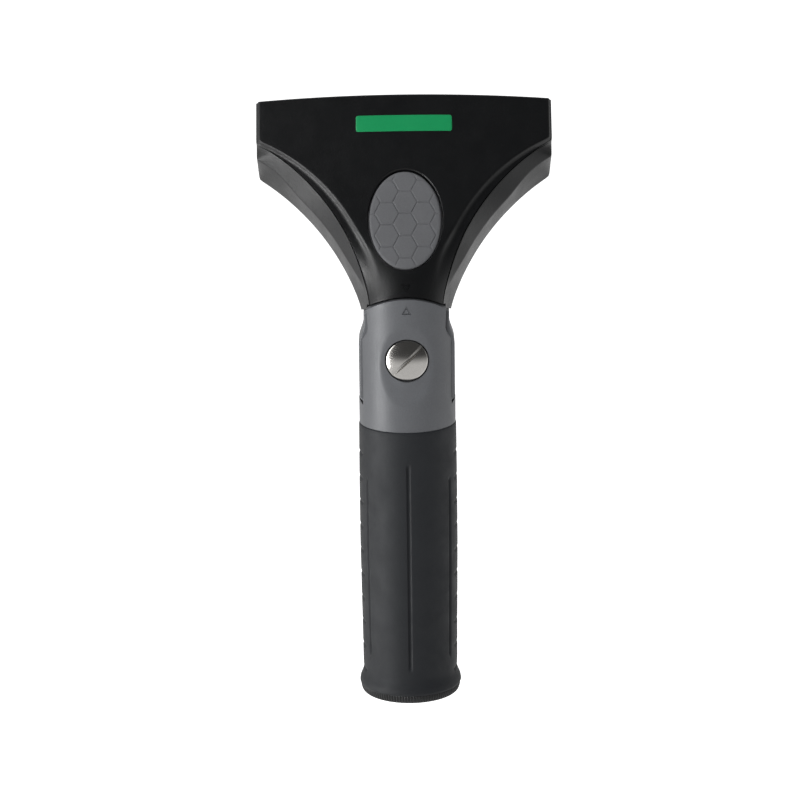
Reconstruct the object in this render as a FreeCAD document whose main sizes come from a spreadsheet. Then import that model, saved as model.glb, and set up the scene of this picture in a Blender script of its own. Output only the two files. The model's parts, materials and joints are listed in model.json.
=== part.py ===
"""Handle of a window cleaning squeegee: a grip with a pole socket, a swivel joint and a
head with a release button and a clamp for a rubber channel.  Millimetres, +Z up along
the grip, origin at the centre of the pole socket's mouth, the front faces -Y."""

import FreeCAD, Part
import math
import os
import re

import Sketcher

os.makedirs("parts", exist_ok=True)
doc = FreeCAD.newDocument("squeegee_handle")
Vector = FreeCAD.Vector

# ---------------------------------------------------------------- driving dimensions
DIMENSIONS = {
    # pole socket and grip
    "socket_radius": 12.0,
    "socket_depth": 60.0,
    "nose_radius": 8.5,
    "nose_depth": 22.0,
    "tube_radius": 14.4,
    "ring_height": 2.8,
    "ring_radius": 17.5,
    "foot_radius": 16.9,
    "rib_count": 60,
    "rib_radius": 0.35,
    "grip_top": 97.1,
    "grip_radius": 16.7,
    "belly_radius": 16.9,
    "belly_height": 55.0,
    "waist_radius": 16.35,
    "waist_height": 7.0,
    "flare_radius": 17.75,
    "flare_height": 3.4,
    "groove_radius": 0.7,
    "groove_low": 12.0,
    "groove_high": 83.0,
    "side_groove_angle": 57.0,
    "notch_count": 10,
    "notch_pitch": 8.7,
    "notch_low": 8.5,
    "notch_depth": 0.45,
    "notch_radius": 1.0,
    "notch_half_length": 6.5,
    "click_hole_radius": 3.0,
    "click_hole_height": 30.0,
    # swivel
    "pivot_height": 122.0,
    "collar_radius": 16.5,
    "slot_half": 6.7,
    "slot_seat_radius": 23.0,
    "cheek_radius": 21.3,
    "cheek_waist": 13.2,
    "cheek_waist_height": 132.0,
    "cheek_wide_height": 126.0,
    "dish_half_width": 9.4,
    "dish_half_height": 14.0,
    "dish_depth": 1.5,
    "dish_drop": 2.1,
    "tongue_half": 6.3,
    "tongue_radius": 22.2,
    "tongue_wide": 16.3,
    "tongue_wide_rise": 4.5,
    "tongue_waist": 14.5,
    "tongue_waist_rise": 9.5,
    "tongue_top_radius": 20.6,
    "spigot_half_width": 9.0,
    "spigot_half_depth": 5.0,
    "spigot_top": 150.0,
    "tongue_pin_radius": 1.5,
    "tongue_pin_height": 146.0,
    "tongue_pin_offset": 5.0,
    "tongue_pin_half": 9.0,
    "bush_bore": 3.05,
    "bush_radius": 5.0,
    "disc_radius": 10.0,
    "disc_recess": 0.8,
    "disc_proud": 0.3,
    # swivel screw and its nut
    "screw_radius": 3.0,
    "screw_hole": 3.3,
    "screw_head_radius": 7.05,
    "screw_head_height": 2.6,
    "screw_crown": 2.0,
    "screw_seat": 11.0,
    "washer_height": 1.0,
    "washer_radius": 6.8,
    "washer_bore": 3.3,
    "counterbore_radius": 7.5,
    "screw_end": 14.8,
    "driver_width": 1.4,
    "driver_depth": 2.2,
    "driver_angle": 44.0,
    "nut_seat": 10.5,
    "nut_height": 4.6,
    "nut_flats": 10.0,
    "nut_play": 0.1,
    # head, whose own axes lean back from the shoulder
    "lean_angle": 30.0,
    "shoulder_front": 15.8,
    "shoulder_height": 144.1,
    "shoulder_radius": 22.1,
    "shoulder_core_radius": 20.8,
    "neck_rear": 12.5,
    "neck_half_width": 15.0,
    "neck_straight": 2.4,
    "neck_flare": 24.0,
    "neck_spread": 1.15,
    "head_length": 72.0,
    "head_half_width": 50.4,
    "head_thickness": 19.0,
    "face_rise": 1.2,
    "flank_radius": 92.0,
    "flank_centre_out": 102.8,
    "flank_centre_down": 26.3,
    "seam_radius": 55.5,
    "seam_centre_out": 68.4,
    "seam_centre_up": 1.0,
    "seam_depth": 3.2,
    "bevel_depth": 7.0,
    "ridge_step": 2.5,
    "flank_wall": 4.0,
    "seam_wall": 2.4,
    "bevel_wall": 2.0,
    "cover_ceiling": 1.3,
    "lever_ceiling": 0.5,
    "pocket_depth": 6.2,
    "cavity_floor": 16.6,
    "cavity_low": 16.5,
    "cavity_high": 58.6,
    "cavity_half_width": 44.0,
    # mouth for the channel
    "mouth_front": 4.5,
    "mouth_rear": 15.0,
    "mouth_depth": 10.6,
    "lip_front": 5.5,
    "lip_rear": 14.0,
    "lip_height": 3.8,
    "pad_thickness": 1.0,
    "pad_height": 4.5,
    "pad_half_width": 40.0,
    # release button
    "button_centre": 26.9,
    "button_half_width": 12.1,
    "button_half_height": 17.3,
    "button_play": 0.45,
    "carrier_top": 0.9,
    "carrier_thickness": 2.4,
    "pad_front": -1.4,
    "cell_column": 6.2,
    "cell_row": 7.7,
    "cell_gap": 0.5,
    "cell_depth": 0.35,
    "flange": 1.6,
    "flange_drop": 0.8,
    "plunger_half_width": 6.0,
    "plunger_height": 38.0,
    "plunger_half_height": 1.5,
    "plunger_length": 3.2,
    "guide_height": 20.5,
    "guide_radius": 1.8,
    "guide_length": 9.0,
    "guide_bore": 1.9,
    "guide_post_radius": 3.2,
    "guide_post_top": 10.0,
    # clamp lever
    "pin_height": 55.5,
    "pin_depth": 5.0,
    "pin_radius": 1.2,
    "pin_bore": 1.25,
    "pin_half_length": 27.0,
    "boss_radius": 2.3,
    "lug_near": 22.0,
    "lug_far": 26.0,
    "lug_reach": 3.5,
    "lever_half_width": 20.0,
    "lever_thickness": 1.3,
    "lever_low": 34.0,
    "lever_low_depth": 6.8,
    "lever_top": 67.2,
    "lever_top_depth": 2.6,
    "lever_window": 21.0,
    "lever_play": 0.6,
    "tooth_length": 1.1,
    "tooth_pitch": 4.0,
    "tooth_width": 2.0,
    "tooth_height": 1.4,
    "tooth_count": 9,
    "jaw_centre": 64.6,
    "jaw_height": 3.4,
    "jaw_thickness": 0.6,
    # coil springs
    "wire_radius": 0.35,
    "coil_radius": 2.3,
    "button_coil_radius": 2.5,
    "coil_pitch": 1.3,
    "lever_coil_offset": 13.0,
    "lever_coil_height": 42.5,
    # screws of the front cover
    "cover_screw_radius": 1.25,
    "cover_screw_head": 2.5,
    "cover_screw_sink": 2.0,
    "cover_screw_out": 33.0,
    "cover_screw_up": 53.0,
    "cover_screw_low_out": 17.6,
    "cover_screw_low_up": 30.0,
    "cover_screw_tip": 0.6,
    "cover_head_height": 1.4,
    "cover_head_play": 0.1,
    "cover_slot_width": 0.7,
    "cover_slot_length": 4.0,
    "cover_slot_depth": 0.6,
    "cover_boss_radius": 2.9,
    # badge
    "badge_centre": 61.4,
    "badge_half_width": 16.4,
    "badge_half_height": 2.7,
    "badge_thickness": 0.5,
    "badge_seat": -0.9,
}

sheet = doc.addObject("Spreadsheet::Sheet", "dims")
for row, (alias, value) in enumerate(DIMENSIONS.items(), start=1):
    sheet.set(f"A{row}", alias)
    sheet.set(f"B{row}", str(value))
    sheet.setAlias(f"B{row}", alias)
doc.recompute()


def dim(alias):
    """The value of a cell of the sheet."""
    return float(sheet.get(alias))


def named(expression):
    """An expression in which each dimension's name is a cell of the sheet."""
    return re.sub(
        r"[a-z_]+", lambda word: f"dims.{word[0]}" if word[0] in DIMENSIONS else word[0], expression
    )


def bind(thing, **expressions):
    for prop, expression in expressions.items():
        thing.setExpression(prop.replace("__", "."), named(expression))
    return thing


# ------------------------------------------------------------------ placing and joining
AXIS_TURNS = {
    "Z": FreeCAD.Rotation(),
    "X": FreeCAD.Rotation(Vector(0, 1, 0), 90),
    "Y": FreeCAD.Rotation(Vector(1, 0, 0), -90),
}


def place(thing, at=("0", "0", "0"), turn=AXIS_TURNS["Z"]):
    """Put a thing at a point given by three expressions, turned by a fixed rotation."""
    thing.Placement = FreeCAD.Placement(Vector(), turn)
    bind(thing, Placement__Base__x=at[0], Placement__Base__y=at[1], Placement__Base__z=at[2])
    return thing


def lean(thing):
    """Place a thing drawn in the head's own axes: x across, y in from the front face and
    z up along the head from the shoulder."""
    turn = FreeCAD.Rotation(Vector(1, 0, 0), -dim("lean_angle"))
    return place(thing, ("0", "0 - shoulder_front", "shoulder_height"), turn)


def cylinder(name, radius, height, at=("0", "0", "0"), axis="Z"):
    solid = bind(doc.addObject("Part::Cylinder", name), Radius=radius, Height=height)
    return place(solid, at, AXIS_TURNS[axis])


def box(name, low, high):
    """A box between two corners, each given by three expressions."""
    solid = doc.addObject("Part::Box", name)
    spans = [f"( {top} ) - ( {bottom} )" for bottom, top in zip(low, high, strict=True)]
    bind(solid, Length=spans[0], Width=spans[1], Height=spans[2])
    return place(solid, low)


def cut(name, base, tool):
    result = doc.addObject("Part::Cut", name)
    result.Base, result.Tool = base, tool
    return result


def fuse(name, *shapes):
    result = doc.addObject("Part::MultiFuse", name)
    result.Shapes = list(shapes)
    return result


def common(name, *shapes):
    result = doc.addObject("Part::MultiCommon", name)
    result.Shapes = list(shapes)
    return result


def group(name, *shapes):
    result = doc.addObject("Part::Compound", name)
    result.Links = list(shapes)
    return result


# ------------------------------------------------------------------ sketches and bodies
def sheet_value(expression):
    """The number that an expression of the sheet's cells gives."""
    return float(sheet.evalExpression(expression))


def new_sketch(body, name, role, offset="0"):
    """A sketch on one of a body's own planes, moved along the plane's normal."""
    sketch = body.newObject("Sketcher::SketchObject", name)
    plane = next(part for part in body.Origin.OriginFeatures if part.Role == role)
    sketch.AttachmentSupport = [(plane, "")]
    sketch.MapMode = "FlatFace"
    return bind(sketch, AttachmentOffset__Base__z=offset)


def hold(sketch, kind, *items, size):
    """A dimension of a sketch that follows the sheet."""
    constraint = Sketcher.Constraint(kind, *items, sheet_value(size))
    sketch.setExpression(f"Constraints[{sketch.addConstraint(constraint)}]", named(size))


def join_ends(sketch, *ends):
    for first, second in ends:
        sketch.addConstraint(Sketcher.Constraint("Coincident", *first, *second))


def closed_lines(sketch, points):
    """A closed polygon whose corners are held by dimensions from the sheet."""
    spots = [Vector(sheet_value(across), sheet_value(up), 0) for across, up in points]
    for start, end in zip(spots, spots[1:] + spots[:1], strict=True):
        sketch.addGeometry(Part.LineSegment(start, end))
    count = len(points)
    join_ends(sketch, *(((line, 2), ((line + 1) % count, 1)) for line in range(count)))
    for line, (across, up) in enumerate(points):
        hold(sketch, "DistanceX", -1, 1, line, 1, size=across)
        hold(sketch, "DistanceY", -1, 1, line, 1, size=up)


def flared_outline(sketch, radius, out, along, low, wide, top):
    """The head's outline: a narrow foot, two hollow arcs about centres on either side,
    and a straight-sided top.  Every argument is an expression."""
    arc_radius, centre_out, centre_up = (sheet_value(size) for size in (radius, out, along))
    foot, side, roof = (sheet_value(size) for size in (low, wide, top))
    foot_turn = math.asin((foot - centre_up) / arc_radius)
    side_turn = math.acos((centre_out - side) / arc_radius)
    foot_out = centre_out - arc_radius * math.cos(foot_turn)
    side_up = centre_up + arc_radius * math.sin(side_turn)

    def arc(sign, start, end):
        centre = Vector(sign * centre_out, centre_up, 0)
        ring = Part.Circle(centre, Vector(0, 0, 1), arc_radius)
        return sketch.addGeometry(Part.ArcOfCircle(ring, start, end))

    def line(*ends):
        return sketch.addGeometry(Part.LineSegment(*(Vector(*end, 0) for end in ends)))

    bottom = line((-foot_out, foot), (foot_out, foot))
    right_arc = arc(1, math.pi - side_turn, math.pi - foot_turn)
    right = line((side, side_up), (side, roof))
    ceiling = line((side, roof), (-side, roof))
    left = line((-side, roof), (-side, side_up))
    left_arc = arc(-1, foot_turn, side_turn)
    join_ends(
        sketch,
        ((bottom, 2), (right_arc, 2)),
        ((right_arc, 1), (right, 1)),
        ((right, 2), (ceiling, 1)),
        ((ceiling, 2), (left, 1)),
        ((left, 2), (left_arc, 2)),
        ((left_arc, 1), (bottom, 1)),
    )
    for ring, centre in ((right_arc, out), (left_arc, f"0 - {out}")):
        hold(sketch, "Radius", ring, size=radius)
        hold(sketch, "DistanceX", -1, 1, ring, 3, size=centre)
        hold(sketch, "DistanceY", -1, 1, ring, 3, size=along)
    hold(sketch, "DistanceY", -1, 1, bottom, 1, size=low)
    hold(sketch, "DistanceY", -1, 1, bottom, 2, size=low)
    hold(sketch, "DistanceX", -1, 1, right, 1, size=wide)
    hold(sketch, "DistanceX", -1, 1, right, 2, size=wide)
    hold(sketch, "DistanceX", -1, 1, left, 1, size=f"0 - {wide}")
    hold(sketch, "DistanceX", -1, 1, left, 2, size=f"0 - {wide}")
    hold(sketch, "DistanceY", -1, 1, ceiling, 1, size=top)
    hold(sketch, "DistanceY", -1, 1, ceiling, 2, size=top)


def oval_outline(sketch, half_width, half_height, centre):
    """An upright ellipse, drawn from the sheet's values."""
    across, up, middle = (sheet_value(size) for size in (half_width, half_height, centre))
    top, side = Vector(0, middle + up, 0), Vector(across, middle, 0)
    sketch.addGeometry(Part.Ellipse(top, side, Vector(0, middle, 0)))
    sketch.addConstraint(Sketcher.Constraint("Block", 0))


def polygon(*points):
    return lambda sketch: closed_lines(sketch, points)


def flared(*sizes):
    return lambda sketch: flared_outline(sketch, *sizes)


def oval(*sizes):
    return lambda sketch: oval_outline(sketch, *sizes)


def mirrored(*right):
    """The corners of a polygon that is the same on both sides, from its right half."""
    left = [(f"0 - ( {across} )", up) for across, up in reversed(right)]
    return polygon(*right, *left)


def padded(name, role, draw, start, length):
    """A body with one pad.  On the XZ plane the pad grows towards -Y from y = start; on
    the YZ plane it grows towards +X from x = start."""
    body = doc.addObject("PartDesign::Body", name)
    offset = f"0 - ( {start} )" if role == "XZ_Plane" else start
    sketch = new_sketch(body, f"{name}_outline", role, offset)
    draw(sketch)
    pad = body.newObject("PartDesign::Pad", f"{name}_pad")
    pad.Profile = sketch
    bind(pad, Length=length)
    return body


def revolved(name, *points):
    """A body of revolution about Z from a closed profile of radii and heights."""
    body = doc.addObject("PartDesign::Body", name)
    profile = new_sketch(body, f"{name}_profile", "XZ_Plane")
    closed_lines(profile, points)
    turn = body.newObject("PartDesign::Revolution", f"{name}_turn")
    turn.Profile = profile
    turn.ReferenceAxis = (profile, ["V_Axis"])
    turn.Angle = 360
    return body


def ruled(name, front_draw, front_depth, rear_draw, rear_depth):
    """A body between two outlines on planes at different depths in the head's axes."""
    body = doc.addObject("PartDesign::Body", name)
    rear = new_sketch(body, f"{name}_rear", "XZ_Plane", f"0 - ( {rear_depth} )")
    rear_draw(rear)
    front = new_sketch(body, f"{name}_front", "XZ_Plane", f"0 - ( {front_depth} )")
    front_draw(front)
    loft = body.newObject("PartDesign::AdditiveLoft", f"{name}_loft")
    loft.Profile = rear
    loft.Sections = [front]
    loft.Ruled = True
    return body


def coil(name, radius, length):
    """A helical compression spring that grows along +Z from the origin."""
    body = doc.addObject("PartDesign::Body", name)
    wire = new_sketch(body, f"{name}_wire", "XZ_Plane")
    centre = Vector(sheet_value(radius), sheet_value("wire_radius"), 0)
    wire.addGeometry(Part.Circle(centre, Vector(0, 0, 1), sheet_value("wire_radius")))
    hold(wire, "Radius", 0, size="wire_radius")
    hold(wire, "DistanceX", -1, 1, 0, 3, size=radius)
    hold(wire, "DistanceY", -1, 1, 0, 3, size="wire_radius")
    helix = body.newObject("PartDesign::AdditiveHelix", f"{name}_helix")
    helix.Profile = wire
    helix.ReferenceAxis = (wire, ["V_Axis"])
    bind(helix, Pitch="coil_pitch", Height=f"{length} - 2 * wire_radius")
    return body


# ------------------------------------------------------------------------------ handle
PIVOT_FRONT = ("0", "0 - collar_radius - 1", "pivot_height")
FULL_DEPTH = "2 * collar_radius + 2"


def on_pivot(depth):
    """A point of the swivel's axis at a depth given by an expression."""
    return ("0", depth, "pivot_height")


def hexagon(name, flats, rear, length):
    """A hexagonal prism about the swivel axis, from y = rear towards the front."""
    corners = ((1, 0), (0.5, 1), (-0.5, 1), (-1, 0), (-0.5, -1), (0.5, -1))
    points = []
    for across, up in corners:
        spot = (f"{across} * ( {flats} ) / sqrt(3)", f"pivot_height + {up} * ( {flats} ) / 2")
        points.append(spot)
    return padded(name, "XZ_Plane", polygon(*points), rear, length)


def click_hole(name):
    """The hole at the rear that a pole's locking button clicks into."""
    low = ("0", "socket_radius - 3", "click_hole_height")
    return cylinder(name, "click_hole_radius", "flare_radius", low, "Y")


def make_handle_core():
    """Grey moulding: socket tube inside the grip, collar and the two swivel cheeks."""
    crown_top = "pivot_height + cheek_radius"
    turned = revolved(
        "core_turned",
        ("socket_radius", "0"),
        ("tube_radius", "0"),
        ("tube_radius", "grip_top"),
        ("collar_radius", "grip_top"),
        ("collar_radius", crown_top),
        ("0", crown_top),
        ("0", "socket_depth + nose_depth"),
        ("nose_radius", "socket_depth + nose_depth"),
        ("socket_radius", "socket_depth"),
    )
    waisted = mirrored(
        ("collar_radius + 1", "0 - 1"),
        ("collar_radius + 1", "cheek_wide_height"),
        ("cheek_waist", "cheek_waist_height"),
        ("cheek_waist + 0.4", f"{crown_top} + 1"),
    )
    outline = padded("cheek_outline", "XZ_Plane", waisted, "collar_radius + 1", FULL_DEPTH)
    above = box(
        "above_pivot",
        ("0 - collar_radius - 1", "0 - collar_radius - 1", "pivot_height"),
        ("collar_radius + 1", "collar_radius + 1", f"{crown_top} + 1"),
    )
    crown = cylinder("cheek_crown", "cheek_radius", FULL_DEPTH, PIVOT_FRONT, "Y")
    gap = box(
        "slot_gap",
        ("0 - collar_radius - 1", "0 - slot_half", "pivot_height"),
        ("collar_radius + 1", "slot_half", f"{crown_top} + 1"),
    )
    sink_depth = "collar_radius + 1 - screw_seat"
    dish = doc.addObject("Part::Ellipsoid", "dish")
    bind(dish, Radius1="dish_half_height", Radius2="dish_half_width", Radius3="dish_depth * 2")
    place(dish, ("0", "0 - collar_radius - dish_depth * 0.6", "pivot_height - dish_drop"))
    tools = fuse(
        "core_cutters",
        cut("cheek_roof", above, crown),
        cylinder("slot_seat", "slot_seat_radius", "2 * slot_half", on_pivot("0 - slot_half"), "Y"),
        gap,
        cylinder("core_screw_hole", "screw_hole", FULL_DEPTH, PIVOT_FRONT, "Y"),
        cylinder("core_counterbore", "counterbore_radius", sink_depth, PIVOT_FRONT, "Y"),
        hexagon(
            "nut_pocket", "nut_flats + 2 * nut_play", "collar_radius + 1", "collar_radius + 1 - nut_seat"
        ),
        dish,
        click_hole("core_click_hole"),
    )
    return cut("handle_core", common("core_waisted", turned, outline), tools)


def make_grip_sleeve():
    """Soft black sleeve over the tube, with long grooves and notched sides."""
    blank = revolved(
        "grip_turned",
        ("tube_radius", "ring_height"),
        ("ring_radius", "ring_height"),
        ("flare_radius", "flare_height"),
        ("( flare_radius + waist_radius ) / 2", "( flare_height + waist_height ) / 2"),
        ("waist_radius", "waist_height"),
        ("belly_radius", "belly_height"),
        ("grip_radius", "grip_top"),
        ("tube_radius", "grip_top"),
    )
    tools = [click_hole("grip_click_hole")]
    side = dim("side_groove_angle")
    for index, turn in enumerate((0, side, 180 - side, 180, 180 + side, 360 - side)):
        out = f"( belly_radius + 0.2 ) * sin({turn} )"
        deep = f"0 - ( belly_radius + 0.2 ) * cos({turn} )"
        length = "groove_high - groove_low"
        spot = (out, deep, "groove_low")
        tools.append(cylinder(f"long_groove_{index}", "groove_radius", length, spot))
    for index in range(int(dim("notch_count"))):
        for name, sign in (("left", -1), ("right", 1)):
            out = f"{sign} * ( belly_radius + notch_radius - notch_depth )"
            spot = (out, "0 - notch_half_length", f"notch_low + {index} * notch_pitch")
            length = "2 * notch_half_length"
            tools.append(cylinder(f"notch_{name}_{index}", "notch_radius", length, spot, "Y"))
    return cut("grip_sleeve", blank, fuse("grip_cutters", *tools))


def make_end_ring():
    """Hard ring that closes the sleeve's lower end, ribbed all round."""
    blank = revolved(
        "ring_turned",
        ("tube_radius", "0"),
        ("foot_radius", "0"),
        ("ring_radius", "ring_height"),
        ("tube_radius", "ring_height"),
    )
    gaps = []
    count = int(dim("rib_count"))
    for index in range(count):
        turn = f"( {index} * 360 / {count} )"
        spot = (f"ring_radius * sin{turn}", f"ring_radius * cos{turn}", "0 - 1")
        gaps.append(cylinder(f"rib_gap_{index}", "rib_radius", "ring_height + 2", spot))
    return cut("end_ring", blank, group("rib_gaps", *gaps))


def make_swivel_nut():
    blank = hexagon("nut_blank", "nut_flats", "nut_seat + nut_height", "nut_height")
    bore = cylinder("nut_bore", "bush_bore", "nut_height + 2", on_pivot("nut_seat - 1"), "Y")
    return cut("swivel_nut", blank, bore)


# ------------------------------------------------------- screw, washers and bush of the swivel
def ring_on_pivot(name, outer, inner, front, length):
    disc = cylinder(f"{name}_disc", outer, length, on_pivot(front), "Y")
    hole = cylinder(f"{name}_hole", inner, f"{length} + 2", on_pivot(f"{front} - 1"), "Y")
    return cut(name, disc, hole)


def make_swivel_screw():
    """Slotted screw with a domed head; its shank is the swivel's axle."""
    head_front = "0 - screw_seat - washer_height - screw_head_height - screw_crown"
    dome_radius = "( screw_head_radius ^ 2 + screw_crown ^ 2 ) / ( 2 * screw_crown )"
    head_length = "screw_head_height + screw_crown"
    drum = cylinder("screw_drum", "screw_head_radius", head_length, on_pivot(head_front), "Y")
    dome = bind(doc.addObject("Part::Sphere", "screw_dome"), Radius=dome_radius)
    place(dome, on_pivot(f"{head_front} + {dome_radius}"))
    shank_start = "0 - screw_seat - washer_height - 0.5"
    shank_length = "screw_seat + washer_height + 0.5 + screw_end"
    shank = cylinder("screw_shank", "screw_radius", shank_length, on_pivot(shank_start), "Y")
    blade = mirrored(
        ("screw_head_radius + 1", "0 - driver_width / 2"),
        ("screw_head_radius + 1", "driver_width / 2"),
    )
    slot = padded("driver_slot", "XZ_Plane", blade, "driver_depth", "driver_depth + 1")
    place(slot, on_pivot(head_front), FreeCAD.Rotation(Vector(0, 1, 0), -dim("driver_angle")))
    blank = fuse("screw_blank", common("screw_head", drum, dome), shank)
    return cut("swivel_screw", blank, slot)


# ------------------------------------------------------------------------ swivel tongue
TONGUE_FRONT = on_pivot("0 - tongue_half - 1")
TONGUE_DEPTH = "2 * tongue_half + 2"


def tongue_pin_rods(name):
    rods = []
    for side, sign in (("left", -1), ("right", 1)):
        spot = (f"{sign} * tongue_pin_offset", "0 - tongue_pin_half", "tongue_pin_height")
        rod = cylinder(f"{name}_{side}", "tongue_pin_radius", "2 * tongue_pin_half", spot, "Y")
        rods.append(rod)
    return rods


def spigot_block(name, bottom):
    low = ("0 - spigot_half_width", "0 - spigot_half_depth", bottom)
    return box(name, low, ("spigot_half_width", "spigot_half_depth", "spigot_top"))


def make_swivel_tongue():
    """Grey tongue between the cheeks, with a spigot that is pinned into the head."""
    low, high = "pivot_height - tongue_radius", "pivot_height + tongue_radius"
    outline = mirrored(
        ("tongue_wide", low),
        ("tongue_wide", "pivot_height + tongue_wide_rise"),
        ("tongue_waist", "pivot_height + tongue_waist_rise"),
        ("tongue_waist", high),
    )
    plate = padded("tongue_plate", "XZ_Plane", outline, "tongue_half", "2 * tongue_half")
    round_end = cylinder("tongue_round", "tongue_radius", TONGUE_DEPTH, TONGUE_FRONT, "Y")
    upper = box(
        "tongue_upper",
        ("0 - tongue_wide - 1", "0 - tongue_half - 1", "pivot_height"),
        ("tongue_wide + 1", "tongue_half + 1", high),
    )
    shoulder = cylinder("tongue_shoulder", "tongue_top_radius", TONGUE_DEPTH, TONGUE_FRONT, "Y")
    roof = cut("tongue_roof", upper, shoulder)
    disc = cut("tongue_flat", common("tongue_disc", plate, round_end), roof)
    blank = fuse("tongue_blank", disc, spigot_block("spigot", "pivot_height + tongue_waist_rise"))
    seats = []
    for side, start in (("front", "0 - tongue_half - 1"), ("rear", "tongue_half - disc_recess")):
        seat = cylinder(f"disc_seat_{side}", "disc_radius", "disc_recess + 1", on_pivot(start), "Y")
        seats.append(seat)
    bore = cylinder("tongue_bore", "bush_radius", TONGUE_DEPTH, TONGUE_FRONT, "Y")
    tools = fuse("tongue_cutters", bore, *seats, *tongue_pin_rods("tongue_pin_hole"))
    return cut("swivel_tongue", blank, tools)


# --------------------------------------------------------------------------- head shells
FLANK = ("flank_centre_out", "0 - flank_centre_down")
SEAM = ("seam_centre_out", "seam_centre_up")
OUTLINE_FOOT = "0 - 16"
CAVITY_ENDS = ("cavity_low", "cavity_half_width", "cavity_high")
SCREW_SPOTS = {
    "upper_left": ("0 - cover_screw_out", "cover_screw_up"),
    "upper_right": ("cover_screw_out", "cover_screw_up"),
    "lower_left": ("0 - cover_screw_low_out", "cover_screw_low_up"),
    "lower_right": ("cover_screw_low_out", "cover_screw_low_up"),
}


GUIDE_SPOT = ("0", "guide_height")


def button_oval(extra="0"):
    return oval(f"button_half_width + {extra}", f"button_half_height + {extra}", "button_centre")


def depth_rod(name, radius, spot, front, rear):
    """A rod along the head's depth at a spot of its face, in the head's axes."""
    across, up = spot
    return cylinder(name, radius, f"( {rear} ) - ( {front} )", (across, front, up), "Y")


def cross_rod(name, radius, half_length, depth, up):
    """A rod across the head, in the head's axes."""
    return cylinder(name, radius, f"2 * {half_length}", (f"0 - {half_length}", depth, up), "X")


def centred_box(name, half_width, front, rear, bottom, top):
    """A box across the middle of the head, in the head's axes."""
    return box(name, (f"0 - ( {half_width} )", front, bottom), (half_width, rear, top))


def head_envelope(name):
    """The head's side view crossed with its front view and with a round neck that flares
    upwards, less the room for the cheeks, which reaches further up outside the tongue."""
    rise_in, rise_up = "face_rise * cos(lean_angle)", "face_rise * sin(lean_angle)"
    along_in, along_up = "head_length * sin(lean_angle)", "head_length * cos(lean_angle)"
    back_in, back_down = "head_thickness * cos(lean_angle)", "head_thickness * sin(lean_angle)"
    neck_depth = "( neck_rear + shoulder_front )"
    side_view = polygon(
        ("0 - shoulder_front", "pivot_height"),
        ("neck_rear", "pivot_height"),
        (
            "neck_rear",
            f"shoulder_height - {back_down} + ( {neck_depth} - {back_in} ) / tan(lean_angle)",
        ),
        (
            f"{back_in} + {along_in} - shoulder_front",
            f"shoulder_height - {back_down} + {along_up}",
        ),
        (
            f"{along_in} - {rise_in} - shoulder_front",
            f"shoulder_height + {rise_up} + {along_up}",
        ),
        ("0 - shoulder_front", f"shoulder_height + {rise_up} + {rise_in} / tan(lean_angle)"),
    )
    wide = "head_half_width + 5"
    side = padded(f"{name}_side_view", "YZ_Plane", side_view, f"0 - ( {wide} )", f"2 * ( {wide} )")
    neck = mirrored(
        ("neck_half_width", "pivot_height"),
        ("neck_half_width", "shoulder_height + neck_straight"),
        (wide, "shoulder_height + neck_flare"),
        (wide, "shoulder_height + head_length"),
    )
    front = padded(f"{name}_front_view", "XZ_Plane", neck, "3 * head_thickness", "5 * head_thickness")
    start, length = on_pivot("0 - 2 * collar_radius"), "4 * collar_radius"
    lugs = box(
        f"{name}_lugs",
        ("0 - head_half_width", "0 - tongue_half", "pivot_height"),
        ("head_half_width", "tongue_half", "shoulder_height"),
    )
    cheek_room = cut(
        f"{name}_cheek_room",
        cylinder(f"{name}_outer_room", "shoulder_radius", length, start, "Y"),
        lugs,
    )
    tongue_room = cylinder(f"{name}_tongue_room", "shoulder_core_radius", length, start, "Y")
    neck_top = "shoulder_height + head_length"
    flare = revolved(
        f"{name}_neck_flare",
        ("0", "pivot_height"),
        ("collar_radius", "pivot_height"),
        ("collar_radius", "shoulder_height"),
        ("collar_radius + neck_spread * head_length", neck_top),
        ("0", neck_top),
    )
    views = common(f"{name}_views", side, front, flare)
    return cut(f"{name}_envelope", views, fuse(f"{name}_shoulder", cheek_room, tongue_room))


def mouth_boxes():
    """The slot that the channel lies in, wider inside than between its lips."""
    wide, lip = "head_half_width + 1", "head_length - lip_height"
    floor = "head_length - mouth_depth"
    return [
        centred_box("mouth_room", wide, "mouth_front", "mouth_rear", floor, lip),
        centred_box("mouth_lips", wide, "lip_front", "lip_rear", lip, "head_length + 2"),
    ]


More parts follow.
